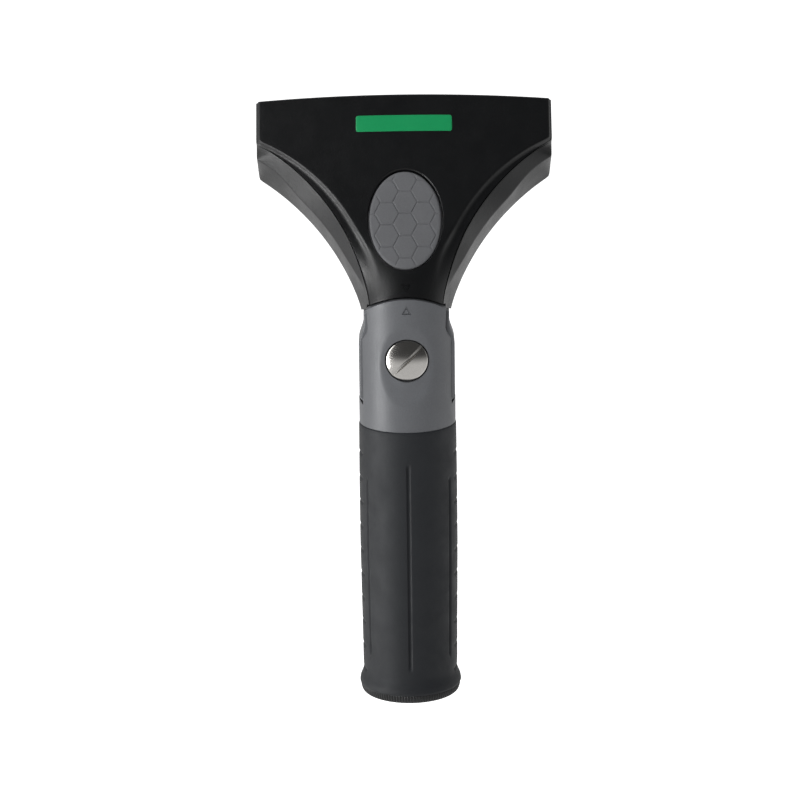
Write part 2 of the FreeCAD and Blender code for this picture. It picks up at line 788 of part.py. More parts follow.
def make_head_body():
    """Rear shell: flanks, back wall, mouth for the channel, bosses and the pin's lugs."""
    flank = flared("flank_radius", *FLANK, OUTLINE_FOOT, "head_half_width", "head_length")
    seam = flared("seam_radius", *SEAM, OUTLINE_FOOT, "head_half_width", "head_length")
    rear_depth = "head_thickness + shoulder_front"
    flanks = padded("flanks", "XZ_Plane", flank, rear_depth, f"{rear_depth} - bevel_depth")
    bevel = ruled("bevel", seam, "seam_depth", flank, "bevel_depth")
    blank = common("head_blank", lean(fuse("head_outer", flanks, bevel)), head_envelope("body"))
    narrow = flared("seam_radius + seam_wall", *SEAM, *CAVITY_ENDS)
    wide = flared("flank_radius + flank_wall", *FLANK, *CAVITY_ENDS)
    wide_length = "cavity_floor - bevel_depth - bevel_wall"
    cavity = fuse(
        "cavity",
        padded("cavity_front", "XZ_Plane", narrow, "cavity_floor", "cavity_floor"),
        padded("cavity_rear", "XZ_Plane", wide, "cavity_floor", wide_length),
    )
    pocket = padded(
        "carrier_pocket", "XZ_Plane", button_oval("flange + button_play"), "pocket_depth", "pocket_depth"
    )
    posts = [depth_rod("guide_post", "guide_post_radius", GUIDE_SPOT, "guide_post_top", "cavity_floor")]
    for key, spot in SCREW_SPOTS.items():
        boss = depth_rod(f"body_boss_{key}", "cover_boss_radius", spot, "seam_depth", "cavity_floor")
        posts.append(boss)
    lug = ("seam_depth", "cavity_floor", "pin_height - lug_reach", "cavity_high")
    lug_pair = cut(
        "pin_lugs",
        centred_box("lug_outer", "lug_far", *lug),
        centred_box("lug_inner", "lug_near", "0", "cavity_floor + 1", "0", "head_length"),
    )
    hollow = cut("head_hollow", fuse("head_rooms", cavity, pocket), fuse("head_posts", *posts, lug_pair))
    holes = mouth_boxes() + [
        centred_box(
            "lever_window", "lever_window", "0", "mouth_front", "cavity_high", "lever_top + lever_play"
        ),
        cross_rod("pin_hole", "pin_radius", "pin_half_length", "pin_depth", "pin_height"),
        depth_rod("guide_way", "guide_bore", GUIDE_SPOT, "0", "cavity_floor"),
    ]
    sink = "head_thickness - cover_screw_sink"
    for key, spot in SCREW_SPOTS.items():
        holes.append(depth_rod(f"screw_way_{key}", "cover_screw_radius", spot, "0", sink))
        holes.append(depth_rod(f"screw_sink_{key}", "cover_screw_head", spot, sink, f"{sink} + 5"))
    inside = lean(fuse("head_inside", hollow, *holes))
    tongue_room = fuse(
        "spigot_room", spigot_block("spigot_hole", "pivot_height"), *tongue_pin_rods("body_pin_hole")
    )
    return cut("head_body", blank, fuse("head_cutters", inside, tongue_room))


def badge_bar(name, front, rear):
    """A bar with round ends across the head, in the head's axes."""
    reach = "badge_half_width - badge_half_height"
    low, high = "badge_centre - badge_half_height", "badge_centre + badge_half_height"
    ends = []
    for side, spot in (("left", f"0 - ( {reach} )"), ("right", reach)):
        end = (spot, "badge_centre")
        ends.append(depth_rod(f"{name}_{side}", "badge_half_height", end, front, rear))
    return fuse(name, centred_box(f"{name}_bar", reach, front, rear, low, high), *ends)


def make_front_cover():
    """Front plate with sloping sides, the button's opening and the badge's recess."""
    seam = flared("seam_radius", *SEAM, OUTLINE_FOOT, "head_half_width", "head_length")
    ridge = flared("seam_radius + ridge_step", *SEAM, OUTLINE_FOOT, "head_half_width", "head_length")
    plate = ruled("cover_plate", ridge, "0 - face_rise", seam, "seam_depth")
    blank = common("cover_blank", lean(plate), head_envelope("cover"))
    room = flared(
        "seam_radius + seam_wall", *SEAM, "button_centre", "cavity_half_width", "cavity_high"
    )
    bosses = []
    for key, spot in SCREW_SPOTS.items():
        boss = depth_rod(f"cover_boss_{key}", "cover_boss_radius", spot, "0", "seam_depth")
        bosses.append(boss)
    hollow = cut(
        "cover_hollow",
        padded("cover_room", "XZ_Plane", room, "seam_depth", "seam_depth - cover_ceiling"),
        fuse("cover_bosses", *bosses),
    )
    tools = [
        hollow,
        padded("button_hole", "XZ_Plane", button_oval("button_play"), "seam_depth", "2 * seam_depth"),
        padded(
            "flange_room", "XZ_Plane", button_oval("flange + button_play"),
            "seam_depth", "seam_depth - cover_ceiling",
        ),
        centred_box(
            "lever_room", "lever_window", "lever_ceiling", "seam_depth",
            "pin_height - lug_reach", "lever_top + lever_play",
        ),
        badge_bar("badge_recess", "0 - face_rise - badge_thickness", "badge_seat"),
    ]
    for key, spot in SCREW_SPOTS.items():
        name = f"cover_screw_way_{key}"
        tools.append(depth_rod(name, "cover_screw_radius", spot, "cover_screw_tip", "seam_depth"))
    return cut("front_cover", blank, lean(fuse("cover_cutters", *tools)))


def make_cover_screws():
    sink = "head_thickness - cover_screw_sink"
    screws = []
    for key, spot in SCREW_SPOTS.items():
        shank = depth_rod(f"shank_{key}", "cover_screw_radius", spot, "cover_screw_tip", sink)
        top = f"{sink} + cover_head_height"
        head = depth_rod(f"head_{key}", "cover_screw_head - cover_head_play", spot, sink, top)
        across, up = spot
        reach, half = "cover_slot_length / 2", "cover_slot_width / 2"
        slot = box(
            f"slot_{key}",
            (f"{across} - {reach}", f"{top} - cover_slot_depth", f"{up} - {half}"),
            (f"{across} + {reach}", f"{top} + 1", f"{up} + {half}"),
        )
        screws.append(cut(f"cover_screw_{key}", fuse(f"blank_{key}", shank, head), slot))
    return lean(group("cover_screws", *screws))


def make_badge():
    return lean(badge_bar("badge", "badge_seat - badge_thickness", "badge_seat"))


def make_channel_pad():
    """Rubber strip on the mouth's rear wall, which the channel is pressed against."""
    centre = "( head_length - mouth_depth + head_length - lip_height ) / 2"
    low, high = f"{centre} - pad_height / 2", f"{centre} + pad_height / 2"
    front = "mouth_rear - pad_thickness"
    strip = centred_box("pad_strip", "pad_half_width", front, "mouth_rear", low, high)
    return lean(group("channel_pad", strip))


# ------------------------------------------------------------------------ release button
def make_button_carrier():
    """Hard oval plate with a flange, the pusher for the lever and the guide pin."""
    rear, drop = "carrier_top + carrier_thickness", "flange_drop"
    plate = padded("carrier_plate", "XZ_Plane", button_oval(), f"carrier_top + {drop}", drop)
    flange = padded(
        "carrier_flange", "XZ_Plane", button_oval("flange"), rear, f"carrier_thickness - {drop}"
    )
    pusher = centred_box(
        "pusher", "plunger_half_width", f"{rear} - 0.5", f"{rear} + plunger_length",
        "plunger_height - plunger_half_height", "plunger_height + plunger_half_height",
    )
    guide = depth_rod("guide_pin", "guide_radius", GUIDE_SPOT, f"{rear} - 0.5", f"{rear} + guide_length")
    return lean(fuse("button_carrier", plate, flange, pusher, guide))


def make_button_pad():
    """Soft oval pad on the carrier, divided into a honeycomb by shallow grooves."""
    blank = padded("pad_blank", "XZ_Plane", button_oval(), "carrier_top", "carrier_top - pad_front")
    cells = []
    for column in range(-2, 3):
        for row in range(-3, 4):
            across = f"{column} * cell_column"
            up = f"button_centre + ( {row} + {column % 2} / 2 ) * cell_row"
            corners = []
            for out, rise in ((1, 0), (0.5, 1), (-0.5, 1), (-1, 0), (-0.5, -1), (0.5, -1)):
                reach = f"{out} * ( cell_column * 2 / 3 - cell_gap )"
                lift = f"{rise} * ( cell_row / 2 - cell_gap / 2 )"
                corners.append((f"{across} + {reach}", f"{up} + {lift}"))
            name, start = f"cell_{column + 2}_{row + 3}", "pad_front + cell_depth"
            cells.append(padded(name, "XZ_Plane", polygon(*corners), start, "cell_depth + 1"))
    face = padded("pad_face", "XZ_Plane", button_oval("1"), "pad_front + cell_depth", "cell_depth + 0.5")
    grooves = cut("pad_grooves", face, group("pad_cells", *cells))
    return lean(cut("button_pad", blank, grooves))


# --------------------------------------------------------------------------- clamp lever
def make_clamp_lever():
    """Cranked plate on the cross pin: the pusher moves its lower arm, its upper arm
    presses the jaw against the channel."""
    low_rear, top_rear = "lever_low_depth + lever_thickness", "lever_top_depth + lever_thickness"
    lower = centred_box(
        "lower_arm", "lever_half_width", "lever_low_depth", low_rear, "lever_low", "pin_height + 0.6"
    )
    upper = centred_box(
        "upper_arm", "lever_half_width", "lever_top_depth", top_rear, "pin_height", "lever_top"
    )
    boss = cross_rod("lever_boss", "boss_radius", "lever_half_width", "pin_depth", "pin_height")
    bore = cross_rod("lever_bore", "pin_bore", "lug_far", "pin_depth", "pin_height")
    return lean(cut("clamp_lever", fuse("lever_blank", lower, upper, boss), bore))


def make_lever_pin():
    rod = cross_rod("lever_pin_rod", "pin_radius", "pin_half_length", "pin_depth", "pin_height")
    return lean(group("lever_pin", rod))


def make_jaw_strip():
    """Steel strip with a row of teeth that bites on the channel."""
    front, rear = "lever_top_depth + lever_thickness", "lever_top_depth + lever_thickness + jaw_thickness"
    low, high = "jaw_centre - jaw_height / 2", "jaw_centre + jaw_height / 2"
    strip = centred_box("jaw_plate", "lever_half_width", front, rear, low, high)
    teeth = []
    count = int(dim("tooth_count"))
    for index in range(count):
        across = f"( {index - (count - 1) / 2} * tooth_pitch )"
        tooth = box(
            f"tooth_{index}",
            (f"{across} - tooth_width / 2", f"{rear} - 0.2", "jaw_centre - tooth_height / 2"),
            (f"{across} + tooth_width / 2", f"{rear} + tooth_length", "jaw_centre + tooth_height / 2"),
        )
        teeth.append(tooth)
    return lean(fuse("jaw_strip", strip, *teeth))


def make_button_spring():
    length = "guide_post_top - carrier_top - carrier_thickness"
    spring = coil("button_coil", "button_coil_radius", length)
    place(spring, ("0", "carrier_top + carrier_thickness", "guide_height"), AXIS_TURNS["Y"])
    return lean(group("button_spring", spring))


def make_lever_springs():
    front = "( lever_low_depth + lever_thickness )"
    springs = []
    for side, sign in (("left", -1), ("right", 1)):
        spring = coil(f"lever_coil_{side}", "coil_radius", f"cavity_floor - {front}")
        spot = (f"{sign} * lever_coil_offset", front, "lever_coil_height")
        springs.append(place(spring, spot, AXIS_TURNS["Y"]))
    return lean(group("lever_springs", *springs))


# ------------------------------------------------------------------------------- output
def make_subparts():
    front_disc = "0 - tongue_half - disc_proud"
    disc_height = "disc_recess + disc_proud"
    return [
        make_handle_core(),
        make_grip_sleeve(),
        make_end_ring(),
        make_swivel_nut(),
        ring_on_pivot(
            "screw_washer", "washer_radius", "washer_bore",
            "0 - screw_seat - washer_height", "washer_height",
        ),
        make_swivel_screw(),
        make_swivel_tongue(),
        ring_on_pivot("pivot_bush", "bush_radius", "bush_bore", "0 - tongue_half", "2 * tongue_half"),
        ring_on_pivot("friction_disc_front", "disc_radius", "bush_radius", front_disc, disc_height),
        ring_on_pivot(
            "friction_disc_rear", "disc_radius", "bush_radius", "tongue_half - disc_recess", disc_height
        ),
        group("tongue_pins", *tongue_pin_rods("tongue_pin")),
        make_head_body(),
        make_front_cover(),
        make_cover_screws(),
        make_badge(),
        make_channel_pad(),
        make_button_carrier(),
        make_button_pad(),
        make_button_spring(),
        make_clamp_lever(),
        make_jaw_strip(),
        make_lever_pin(),
        make_lever_springs(),
    ]


def check(subparts):
    """Stop if any object of the document failed or any sub-part has no sound shape."""
    failed = [thing.Name for thing in doc.Objects if {"Invalid", "Error"} & set(thing.State)]
    for part in subparts:
        shape = part.Shape
        if shape.isNull() or not shape.isValid() or shape.Volume <= 0:
            failed.append(part.Label)
    if failed:
        raise RuntimeError(f"failed: {failed}")


subparts = make_subparts()
doc.recompute()
check(subparts)
for part in subparts:
    part.Shape.exportStep(f"parts/{part.Label}.step")
    print(part.Label, len(part.Shape.Solids), round(part.Shape.Volume, 1))
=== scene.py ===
"""Looks of a squeegee handle around its CAD frame.  Sizes here are in millimetres and turn to
metres in place().  The head has its own axes: x across, d in from its front face and t up
along the face from the shoulder, where the head starts to lean back."""

import json
import math

import bmesh
import bpy
from mathutils import Matrix, Vector


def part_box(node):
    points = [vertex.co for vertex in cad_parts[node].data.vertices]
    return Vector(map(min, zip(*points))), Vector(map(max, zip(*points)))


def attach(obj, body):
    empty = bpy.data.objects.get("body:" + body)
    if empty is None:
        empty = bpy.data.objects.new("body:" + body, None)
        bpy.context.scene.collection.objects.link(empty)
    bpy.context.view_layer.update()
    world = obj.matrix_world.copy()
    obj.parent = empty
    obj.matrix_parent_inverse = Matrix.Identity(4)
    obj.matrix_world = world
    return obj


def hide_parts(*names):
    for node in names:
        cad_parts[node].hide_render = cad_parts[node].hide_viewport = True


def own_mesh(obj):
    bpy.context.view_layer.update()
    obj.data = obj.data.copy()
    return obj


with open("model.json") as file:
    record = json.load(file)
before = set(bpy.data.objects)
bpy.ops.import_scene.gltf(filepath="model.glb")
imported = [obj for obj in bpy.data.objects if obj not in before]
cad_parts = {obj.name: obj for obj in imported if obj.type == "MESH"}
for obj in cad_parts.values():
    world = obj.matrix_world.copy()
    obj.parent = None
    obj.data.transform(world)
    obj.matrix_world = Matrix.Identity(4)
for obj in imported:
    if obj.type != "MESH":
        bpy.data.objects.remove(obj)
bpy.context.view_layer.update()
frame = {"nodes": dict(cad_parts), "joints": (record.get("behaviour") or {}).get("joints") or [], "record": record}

MM = 0.001


# ------------------------------------------------------------------ measures from the frame
def cad_box(node):
    """The corners of a CAD node in millimetres."""
    low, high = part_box(node)
    return low / MM, high / MM


def joint(name):
    return next(item for item in frame["joints"] if item["name"] == name)


PIVOT_UP = joint("swivel")["pos_m"][2] / MM
LEAN = math.asin(-joint("button_press")["axis"][2])
GRIP_LOW, GRIP_HIGH = cad_box("grip_sleeve")
TONGUE_HIGH = cad_box("swivel_tongue")[1]
SCREW_LOW, SCREW_HIGH = cad_box("swivel_screw")
HEAD_HIGH = cad_box("head_body")[1]

SHOULDER_UP = 144.1
SHOULDER_FRONT = 15.8
HEAD_LENGTH = 72.0
SIDE = HEAD_HIGH.x - 0.05
COLLAR_RADIUS = 16.5
CHEEK_RADIUS = 21.3
NECK_RADIUS = 22.1
TONGUE_ROOM = 20.8
TONGUE_HALF = TONGUE_HIGH.y


# ---------------------------------------------------------------------------- small helpers
def ease(value):
    """A smooth step from 0 to 1."""
    value = min(max(value, 0.0), 1.0)
    return value * value * (3 - 2 * value)


def mix(first, second, share):
    return first + (second - first) * share


def soft_min(first, second, width):
    return 0.5 * (first + second - math.hypot(first - second, width))


def soft_max(first, second, width):
    return 0.5 * (first + second + math.hypot(first - second, width))


def place(x, y, z):
    return Vector((x, y, z)) * MM


def leaned(x, d, t):
    """A point of the head's own axes."""
    y = -SHOULDER_FRONT + d * math.cos(LEAN) + t * math.sin(LEAN)
    return place(x, y, SHOULDER_UP - d * math.sin(LEAN) + t * math.cos(LEAN))


def new_piece(name, points, faces):
    mesh = bpy.data.meshes.new(name)
    mesh.from_pydata([tuple(point) for point in points], [], faces)
    piece = bpy.data.objects.new(name, mesh)
    bpy.context.scene.collection.objects.link(piece)
    outward(piece)
    return piece


def outward(piece):
    """Turn every face outwards."""
    work = bmesh.new()
    work.from_mesh(piece.data)
    bmesh.ops.recalc_face_normals(work, faces=work.faces)
    work.to_mesh(piece.data)
    work.free()


def weld(piece):
    """Merge points that lie on one another."""
    work = bmesh.new()
    work.from_mesh(piece.data)
    bmesh.ops.remove_doubles(work, verts=work.verts, dist=0.0002 * MM)
    work.to_mesh(piece.data)
    work.free()


def crisp(piece, limit=32):
    """Shade smoothly, with a sharp edge wherever the surface turns by more than the limit."""
    work = bmesh.new()
    work.from_mesh(piece.data)
    for face in work.faces:
        face.smooth = True
    for edge in work.edges:
        if len(edge.link_faces) == 2:
            edge.smooth = edge.calc_face_angle(0) < math.radians(limit)
    work.to_mesh(piece.data)
    work.free()
    return piece


def tube_of_rows(name, rows, closed=False):
    """A solid from rows of points, each row a closed loop.  With closed, the last row meets
    the first; otherwise both ends are filled between facing points of the loop."""
    count = len(rows[0])
    points = [point for row in rows for point in row]
    faces = []
    steps = len(rows) if closed else len(rows) - 1
    for step in range(steps):
        first, second = step * count, (step + 1) % len(rows) * count
        for k in range(count):
            after = (k + 1) % count
            faces.append((first + k, first + after, second + after, second + k))
    if not closed:
        for start in (0, (len(rows) - 1) * count):
            for k in range(count // 2 - 1):
                far = count - 1 - k
                faces.append((start + k, start + k + 1, start + far - 1, start + far))
    return new_piece(name, points, faces)


def prism(name, outline, put, low, high):
    """A prism between two depths over an outline, placed by put(u, v, depth)."""
    count = len(outline)
    points = [put(u, v, depth) for depth in (low, high) for u, v in outline]
    faces = [(k, (k + 1) % count, count + (k + 1) % count, count + k) for k in range(count)]
    faces += [tuple(range(count)), tuple(range(2 * count - 1, count - 1, -1))]
    return new_piece(name, points, faces)


def round_outline(across, up, middle=(0.0, 0.0), count=96):
    angles = [2 * math.pi * k / count for k in range(count)]
    return [(middle[0] + across * math.cos(a), middle[1] + up * math.sin(a)) for a in angles]


def box_outline(low, high):
    return [low, (high[0], low[1]), high, (low[0], high[1])]


def carve(piece, *tools, operation="DIFFERENCE"):
    """Cut the tools out of a piece, one after another, and delete them."""
    for tool in tools:
        cutter = piece.modifiers.new(tool.name, "BOOLEAN")
        cutter.operation = operation
        cutter.solver = "EXACT"
        cutter.object = tool
    bpy.context.view_layer.update()
    graph = bpy.context.evaluated_depsgraph_get()
    cut = bpy.data.meshes.new_from_object(piece.evaluated_get(graph))
    piece.modifiers.clear()
    piece.data = cut
    for tool in tools:
        bpy.data.objects.remove(tool)
    return piece


def about_pivot(radius, angle, y):
    """A point on a circle about the swivel's axis, from straight up towards +X."""
    return place(radius * math.sin(angle), y, PIVOT_UP + radius * math.cos(angle))


def pivot_turned(name, profile, count=180):
    """A solid turned about the swivel's axis, from a closed profile of (radius, y)."""
    rows = []
    for k in range(count):
        angle = 2 * math.pi * k / count
        rows.append([about_pivot(radius, angle, y) for radius, y in profile])
    return tube_of_rows(name, rows, closed=True)


def pivot_drum(name, radius, low, high):
    """A full cylinder about the swivel's axis."""
    def put(x, z, y):
        return place(x, y, PIVOT_UP + z)
    return prism(name, round_outline(radius, radius, count=180), put, low, high)


def in_front_view(x, z, y):
    return place(x, y, z)


def in_head(x, t, d):
    return leaned(x, d, t)


# --------------------------------------------------------------------------- head's surface
# hollow arcs across the face, each as (centre out, centre up, radius), in head's axes
RIDGE_ARC = (83.3, -9.5, 75.0)
LEDGE_ARC = (101.3, -18.2, 91.0)
FLANK_ARC = (102.8, -26.3, 92.0)
NECK_BLEND = 25.0
NECK_HALF = 12.2
HEAD_DEPTH = 19.0
NECK_REAR = 12.5
FACE_RISE = 1.2
NECK_RISE = 0.4
FACE_ROUND = 420.0
TOP_BOW = 0.9
PARTING = 0.32
EDGE_DEPTH = 7.0
LOW_STATION = -6.0


def arc_out(arc, t):
    out, up, radius = arc
    return out - math.sqrt(max(radius**2 - (t - up) ** 2, 0.0))


def ridge_out(t):
    """The crest of the plateau's rim, which fades out into the neck."""
    out = arc_out(RIDGE_ARC, t) - 1.4 * ease((26 - t) / 14)
    return soft_min(soft_max(out, 7.5, 2.0), SIDE - 0.9, 1.0)


def ledge_out(t):
    """The rib at the parting, where the bevel starts."""
    return soft_min(soft_max(arc_out(LEDGE_ARC, t), NECK_HALF, 0.8), SIDE, 0.3)


def seam_out(t):
    """The front cover's outer edge, a gap away from the rib."""
    return ledge_out(t) - PARTING * (1 - ease((t - 52) / 5))


def flank_out(t):
    """The head's outline at its back."""
    return soft_min(soft_max(arc_out(FLANK_ARC, t), 14.0, 1.5), SIDE, 0.6)


def edge_out(t):
    """The sharp edge between the bevel and the side wall."""
    inward = 1.1 + 4.0 * ease((t - 36) / 16) + 1.7 * ease((18 - t) / 17)
    return soft_min(max(arc_out(FLANK_ARC, t) - inward, NECK_HALF + 0.45), SIDE, 0.5)


def neck_slope(t):
    """How far the neck's upright front lies behind the leaning plane, below the shoulder."""
    return soft_max(-t, 0.0, 1.5) * math.tan(LEAN)


def crown(x, t):
    """How far the face lies behind its tangent plane: round at the neck, almost flat above."""
    share = ease(t / NECK_BLEND)
    curvature = mix(1 / COLLAR_RADIUS, 1 / FACE_ROUND, share)
    bend = min(abs(x) * curvature, 0.98)
    sag = (1 - math.sqrt(1 - bend * bend)) / curvature * mix(1 / math.cos(LEAN), 1.0, share)
    return sag + neck_slope(t) - mix(NECK_RISE, FACE_RISE, ease(t / 15))


def slope_drop(t):
    """Height of the plateau's rim above the valley beside it."""
    return mix(0.0, 1.5, ease((t - 4) / 18))


def rear_depth(t):
    """Depth of the head's back behind the neck, where the round neck runs up into it."""
    length = (SHOULDER_FRONT + NECK_REAR) * math.sin(LEAN)
    neck = (SHOULDER_FRONT + NECK_REAR) * math.cos(LEAN) + (length - t) * math.tan(LEAN)
    return soft_max(HEAD_DEPTH, neck, 2.5)


def station(x, d, t):
    """A point of the head at a station; the upper ones bow down towards the sides."""
    return leaned(x, d, t - TOP_BOW * (x / SIDE) ** 2 * ease(t / HEAD_LENGTH))


def rounded(corners, radii, spans, turns=6):
    """A path through corners, each but the ends rounded, with a set number of points."""
    path = []
    start = corners[0]
    for index in range(1, len(corners)):
        corner, last = corners[index], index == len(corners) - 1
        before = (corner - start).length
        if last:
            leave = corner
        else:
            after = (corners[index + 1] - corner).length
            reach = min(radii[index - 1], 0.48 * (corner - corners[index - 1]).length, 0.48 * after)
            leave = corner.lerp(start, min(reach / max(before, 1e-6), 1.0))
        path += [start.lerp(leave, k / spans[index - 1]) for k in range(spans[index - 1])]
        if last:
            path.append(corner)
            break
        away = corner.lerp(corners[index + 1], reach / max(after, 1e-6))
        for k in range(turns):
            share = k / turns
            path.append(leave.lerp(corner, share).lerp(corner.lerp(away, share), share))
        start = away
    return path


def stations():
    """Heights of the head's sections, closer together at its top edge."""
    body = [LOW_STATION + 0.65 * k for k in range(int((HEAD_LENGTH - 1.2 - LOW_STATION) / 0.65))]
    return body + [HEAD_LENGTH - gap for gap in (1.0, 0.8, 0.62, 0.46, 0.3, 0.16, 0.06, 0.0)]


def top_round(t, radius):
    """How far a face draws back where it rounds over into the top."""
    into = t - (HEAD_LENGTH - radius)
    return 0.0 if into <= 0 else radius - math.sqrt(max(radius**2 - into**2, 0.0))


def mirrored_loop(front, back, t):
    """A whole section from its right half's front path and back path, of equal counts."""
    right = [station(x, d, t) for x, d in front]
    right_back = [station(x, d, t) for x, d in reversed(back)]
    left_back = [station(-x, d, t) for x, d in back[1:]]
    left = [station(-x, d, t) for x, d in reversed(front[1:])]
    return right + right_back + left_back + left


def solid_of_sections(name, sections):
    """A solid from (front, back, t) sections of the head."""
    rows = [mirrored_loop(front, back, t) for front, back, t in sections]
    size = len(rows[0])
    points = [point for row in rows for point in row]
    faces = []
    for step in range(len(rows) - 1):
        first, second = step * size, (step + 1) * size
        for k in range(size):
            after = (k + 1) % size
            faces.append((first + k, first + after, second + after, second + k))
    ends = [tuple(range(size)), tuple(range((len(rows) - 1) * size, len(rows) * size))]
    return new_piece(name, points, faces + ends)


def seam_floor(t):
    """Depth of the parting between the front cover and the rear shell at the seam."""
    return max(3.3 + neck_slope(t), crown(seam_out(t), t) + slope_drop(t) + 0.9)


def cover_section(t):
    """Plateau, rounded rim, valley and outer edge, then the flat back."""
    seam, drop = seam_out(t), slope_drop(t)
    ridge = min(ridge_out(t), seam - 0.9)
    valley = min(ridge + 1.55, seam - 0.35)
    floor = seam_floor(t) - crown(seam, t)
    corners = [
        Vector((0, 0)), Vector((ridge, 0)), Vector((valley, drop)), Vector((seam, drop + 0.1)),
        Vector((seam, floor)),
    ]
    softness = mix(3.0, 0.55, ease((t - 6) / 14))
    path = rounded(corners, (softness, 0.9, 0.15), (26, 4, 8, 3))
    drawn = top_round(t, 0.7)
    front = [(point.x, point.y + crown(point.x, t) + drawn) for point in path]
    inner, outer = 3.3 + neck_slope(t), seam_floor(t)
    rear = [(x, mix(inner, outer, (x / seam) ** 6)) for x, _ in front]
    return front, rear, t


def shell_section(t):
    """Back of the parting, rib, bevel, sharp edge, side wall and back."""
    ledge = ledge_out(t)
    edge = max(edge_out(t), ledge + 0.02)
    flank = max(flank_out(t), edge)
    drop, depth = slope_drop(t), rear_depth(t)
    floor = seam_floor(t) + PARTING
    lip = min(crown(ledge, t) + drop - 0.15 * ease((t - 4) / 10), floor - 0.1)
    lip = mix(lip, floor - 0.03, ease((t - 53) / 3.2))
    edge_depth = soft_max(EDGE_DEPTH, crown(edge, t) + 1.0, 0.8)
    edge_depth = max(edge_depth, lip + 0.1)
    inner = 3.3 + PARTING + neck_slope(t)
    wall = Vector((flank, HEAD_DEPTH))
    corners = [
        Vector((0, inner)),
        Vector((ledge * 0.8, mix(inner, floor, 0.8**6))),
        Vector((ledge, floor)),
        Vector((ledge, lip)),
        Vector((edge, edge_depth)),
        Vector((edge, edge_depth)).lerp(wall, 0.5),
    ]
    front = rounded(corners, (2.0, 0.02, 0.22, 0.4), (6, 4, 3, 9, 6))
    neck = min(10.0, flank - 3)
    back_corners = [Vector((0, depth)), Vector((neck, depth)), wall, corners[-1]]
    spare = len(front) - 1 - 20
    spans = (spare // 3, spare // 3, spare - 2 * (spare // 3))
    rear = rounded(back_corners, (5.0, 1.5), spans, turns=10)
    drawn = top_round(t, 0.6)
    front = [(point.x, point.y) for point in front]
    rear = [(point.x, point.y - drawn) for point in rear]
    return front, rear, t


def triangle_ring(name, middle, size, line, put, low, high, point_down):
    """A cutter in the shape of a triangle's outline."""
    turn = -90 if point_down else 90
    ring = []
    for reach in (size, size - 2 * line):
        for k in range(3):
            angle = math.radians(turn + 120 * k)
            ring.append((middle[0] + reach * math.cos(angle), middle[1] + reach * math.sin(angle)))
    points = [put(u, v, depth) for depth in (low, high) for u, v in ring]
    faces = []
    for k in range(3):
        after = (k + 1) % 3
        faces += [
            (k, after, 3 + after, 3 + k),
            (6 + k, 6 + after, 9 + after, 9 + k),
            (k, after, 6 + after, 6 + k),
            (3 + k, 3 + after, 9 + after, 9 + k),
        ]
    return new_piece(name, points, faces)


def shoulder_cutter(name):
    """The room below the head: wider outside the tongue than over it."""
    inside = TONGUE_HALF + 0.02
    profile = [
        (0.01, -40), (NECK_RADIUS, -40), (NECK_RADIUS, -inside), (TONGUE_ROOM, -inside),
        (TONGUE_ROOM, inside), (NECK_RADIUS, inside), (NECK_RADIUS, 40), (0.01, 40),
    ]
    return pivot_turned(name, profile)


def below_pivot_cutter(name):
    outline = box_outline((-60, 60), (60, PIVOT_UP + 5))
    return prism(name, outline, in_front_view, -60, 60)


LEVER_HALF = 21.0
LEVER_TOP = 67.8
SCREW_WAY = 1.28
PIN_WAY = 1.52
PIN_OUT = 5.0
PIN_UP = 146.0
HOLLOW_FLOOR = 16.6
COVER_BEHIND = 8.0
BUTTON_MIDDLE = 26.9
BUTTON_ACROSS = 12.1
BUTTON_UP = 17.3
BUTTON_PLAY = 0.45
GUIDE_SPOT = (0, 20.5)


def button_cutter():
    """The button's opening, with a rim that opens out like a small rounding."""
    levels = [(-4.0, 0.75), (-1.05, 0.55), (-0.8, 0.3), (-0.55, 0.12), (-0.2, 0.03), (8.0, 0.0)]
    rows = []
    for depth, extra in levels:
        across = BUTTON_ACROSS + BUTTON_PLAY + extra
        up = BUTTON_UP + BUTTON_PLAY + extra
        outline = round_outline(across, up, (0, BUTTON_MIDDLE), 160)
        rows.append([leaned(x, depth, t) for x, t in outline])
    return tube_of_rows("button_opening", rows)


def make_front_cover():
    piece = solid_of_sections("front_plate", [cover_section(t) for t in stations()])
    weld(piece)
    mark = triangle_ring("neck_mark", (0, 3.4), 1.9, 0.35, in_head, -3.0, -0.12, True)
    flange = round_outline(14.15, 19.35, (0, BUTTON_MIDDLE))
    tools = [
        shoulder_cutter("cover_shoulder"),
        below_pivot_cutter("cover_low"),
        button_cutter(),
        mark,
        prism("flange_room", flange, in_head, 1.3, COVER_BEHIND),
        box_cutter("lever_room", LEVER_HALF, 0.5, COVER_BEHIND, 52.0, LEVER_TOP),
    ]
    for index, spot in enumerate(screw_spots()):
        thread = round_outline(SCREW_WAY, SCREW_WAY, spot, 32)
        tools.append(prism(f"thread_{index}", thread, in_head, 0.6, COVER_BEHIND))
    carve(piece, *tools)
    outward(piece)
    return crisp(piece)


def cavity_cutter():
    """The head's hollow, where the button, the lever and the springs work, with its posts."""
    low, high, wall = 17.5, 58.6, 5.0
    heights = [low + (high - low) * k / 24 for k in range(25)]
    right = [(min(seam_out(t) - wall, 44.0), t) for t in heights]
    outline = right + [(-x, t) for x, t in reversed(right)]
    hollow = prism("head_hollow", outline, in_head, 2.0, HOLLOW_FLOOR)
    posts = [prism("guide_post", round_outline(3.2, 3.2, GUIDE_SPOT, 48), in_head, 10.0, 20.0)]
    for index, spot in enumerate(screw_spots()):
        boss = round_outline(3.0, 3.0, spot, 48)
        posts.append(prism(f"boss_{index}", boss, in_head, 0.0, 20.0))
    return carve(hollow, *posts)


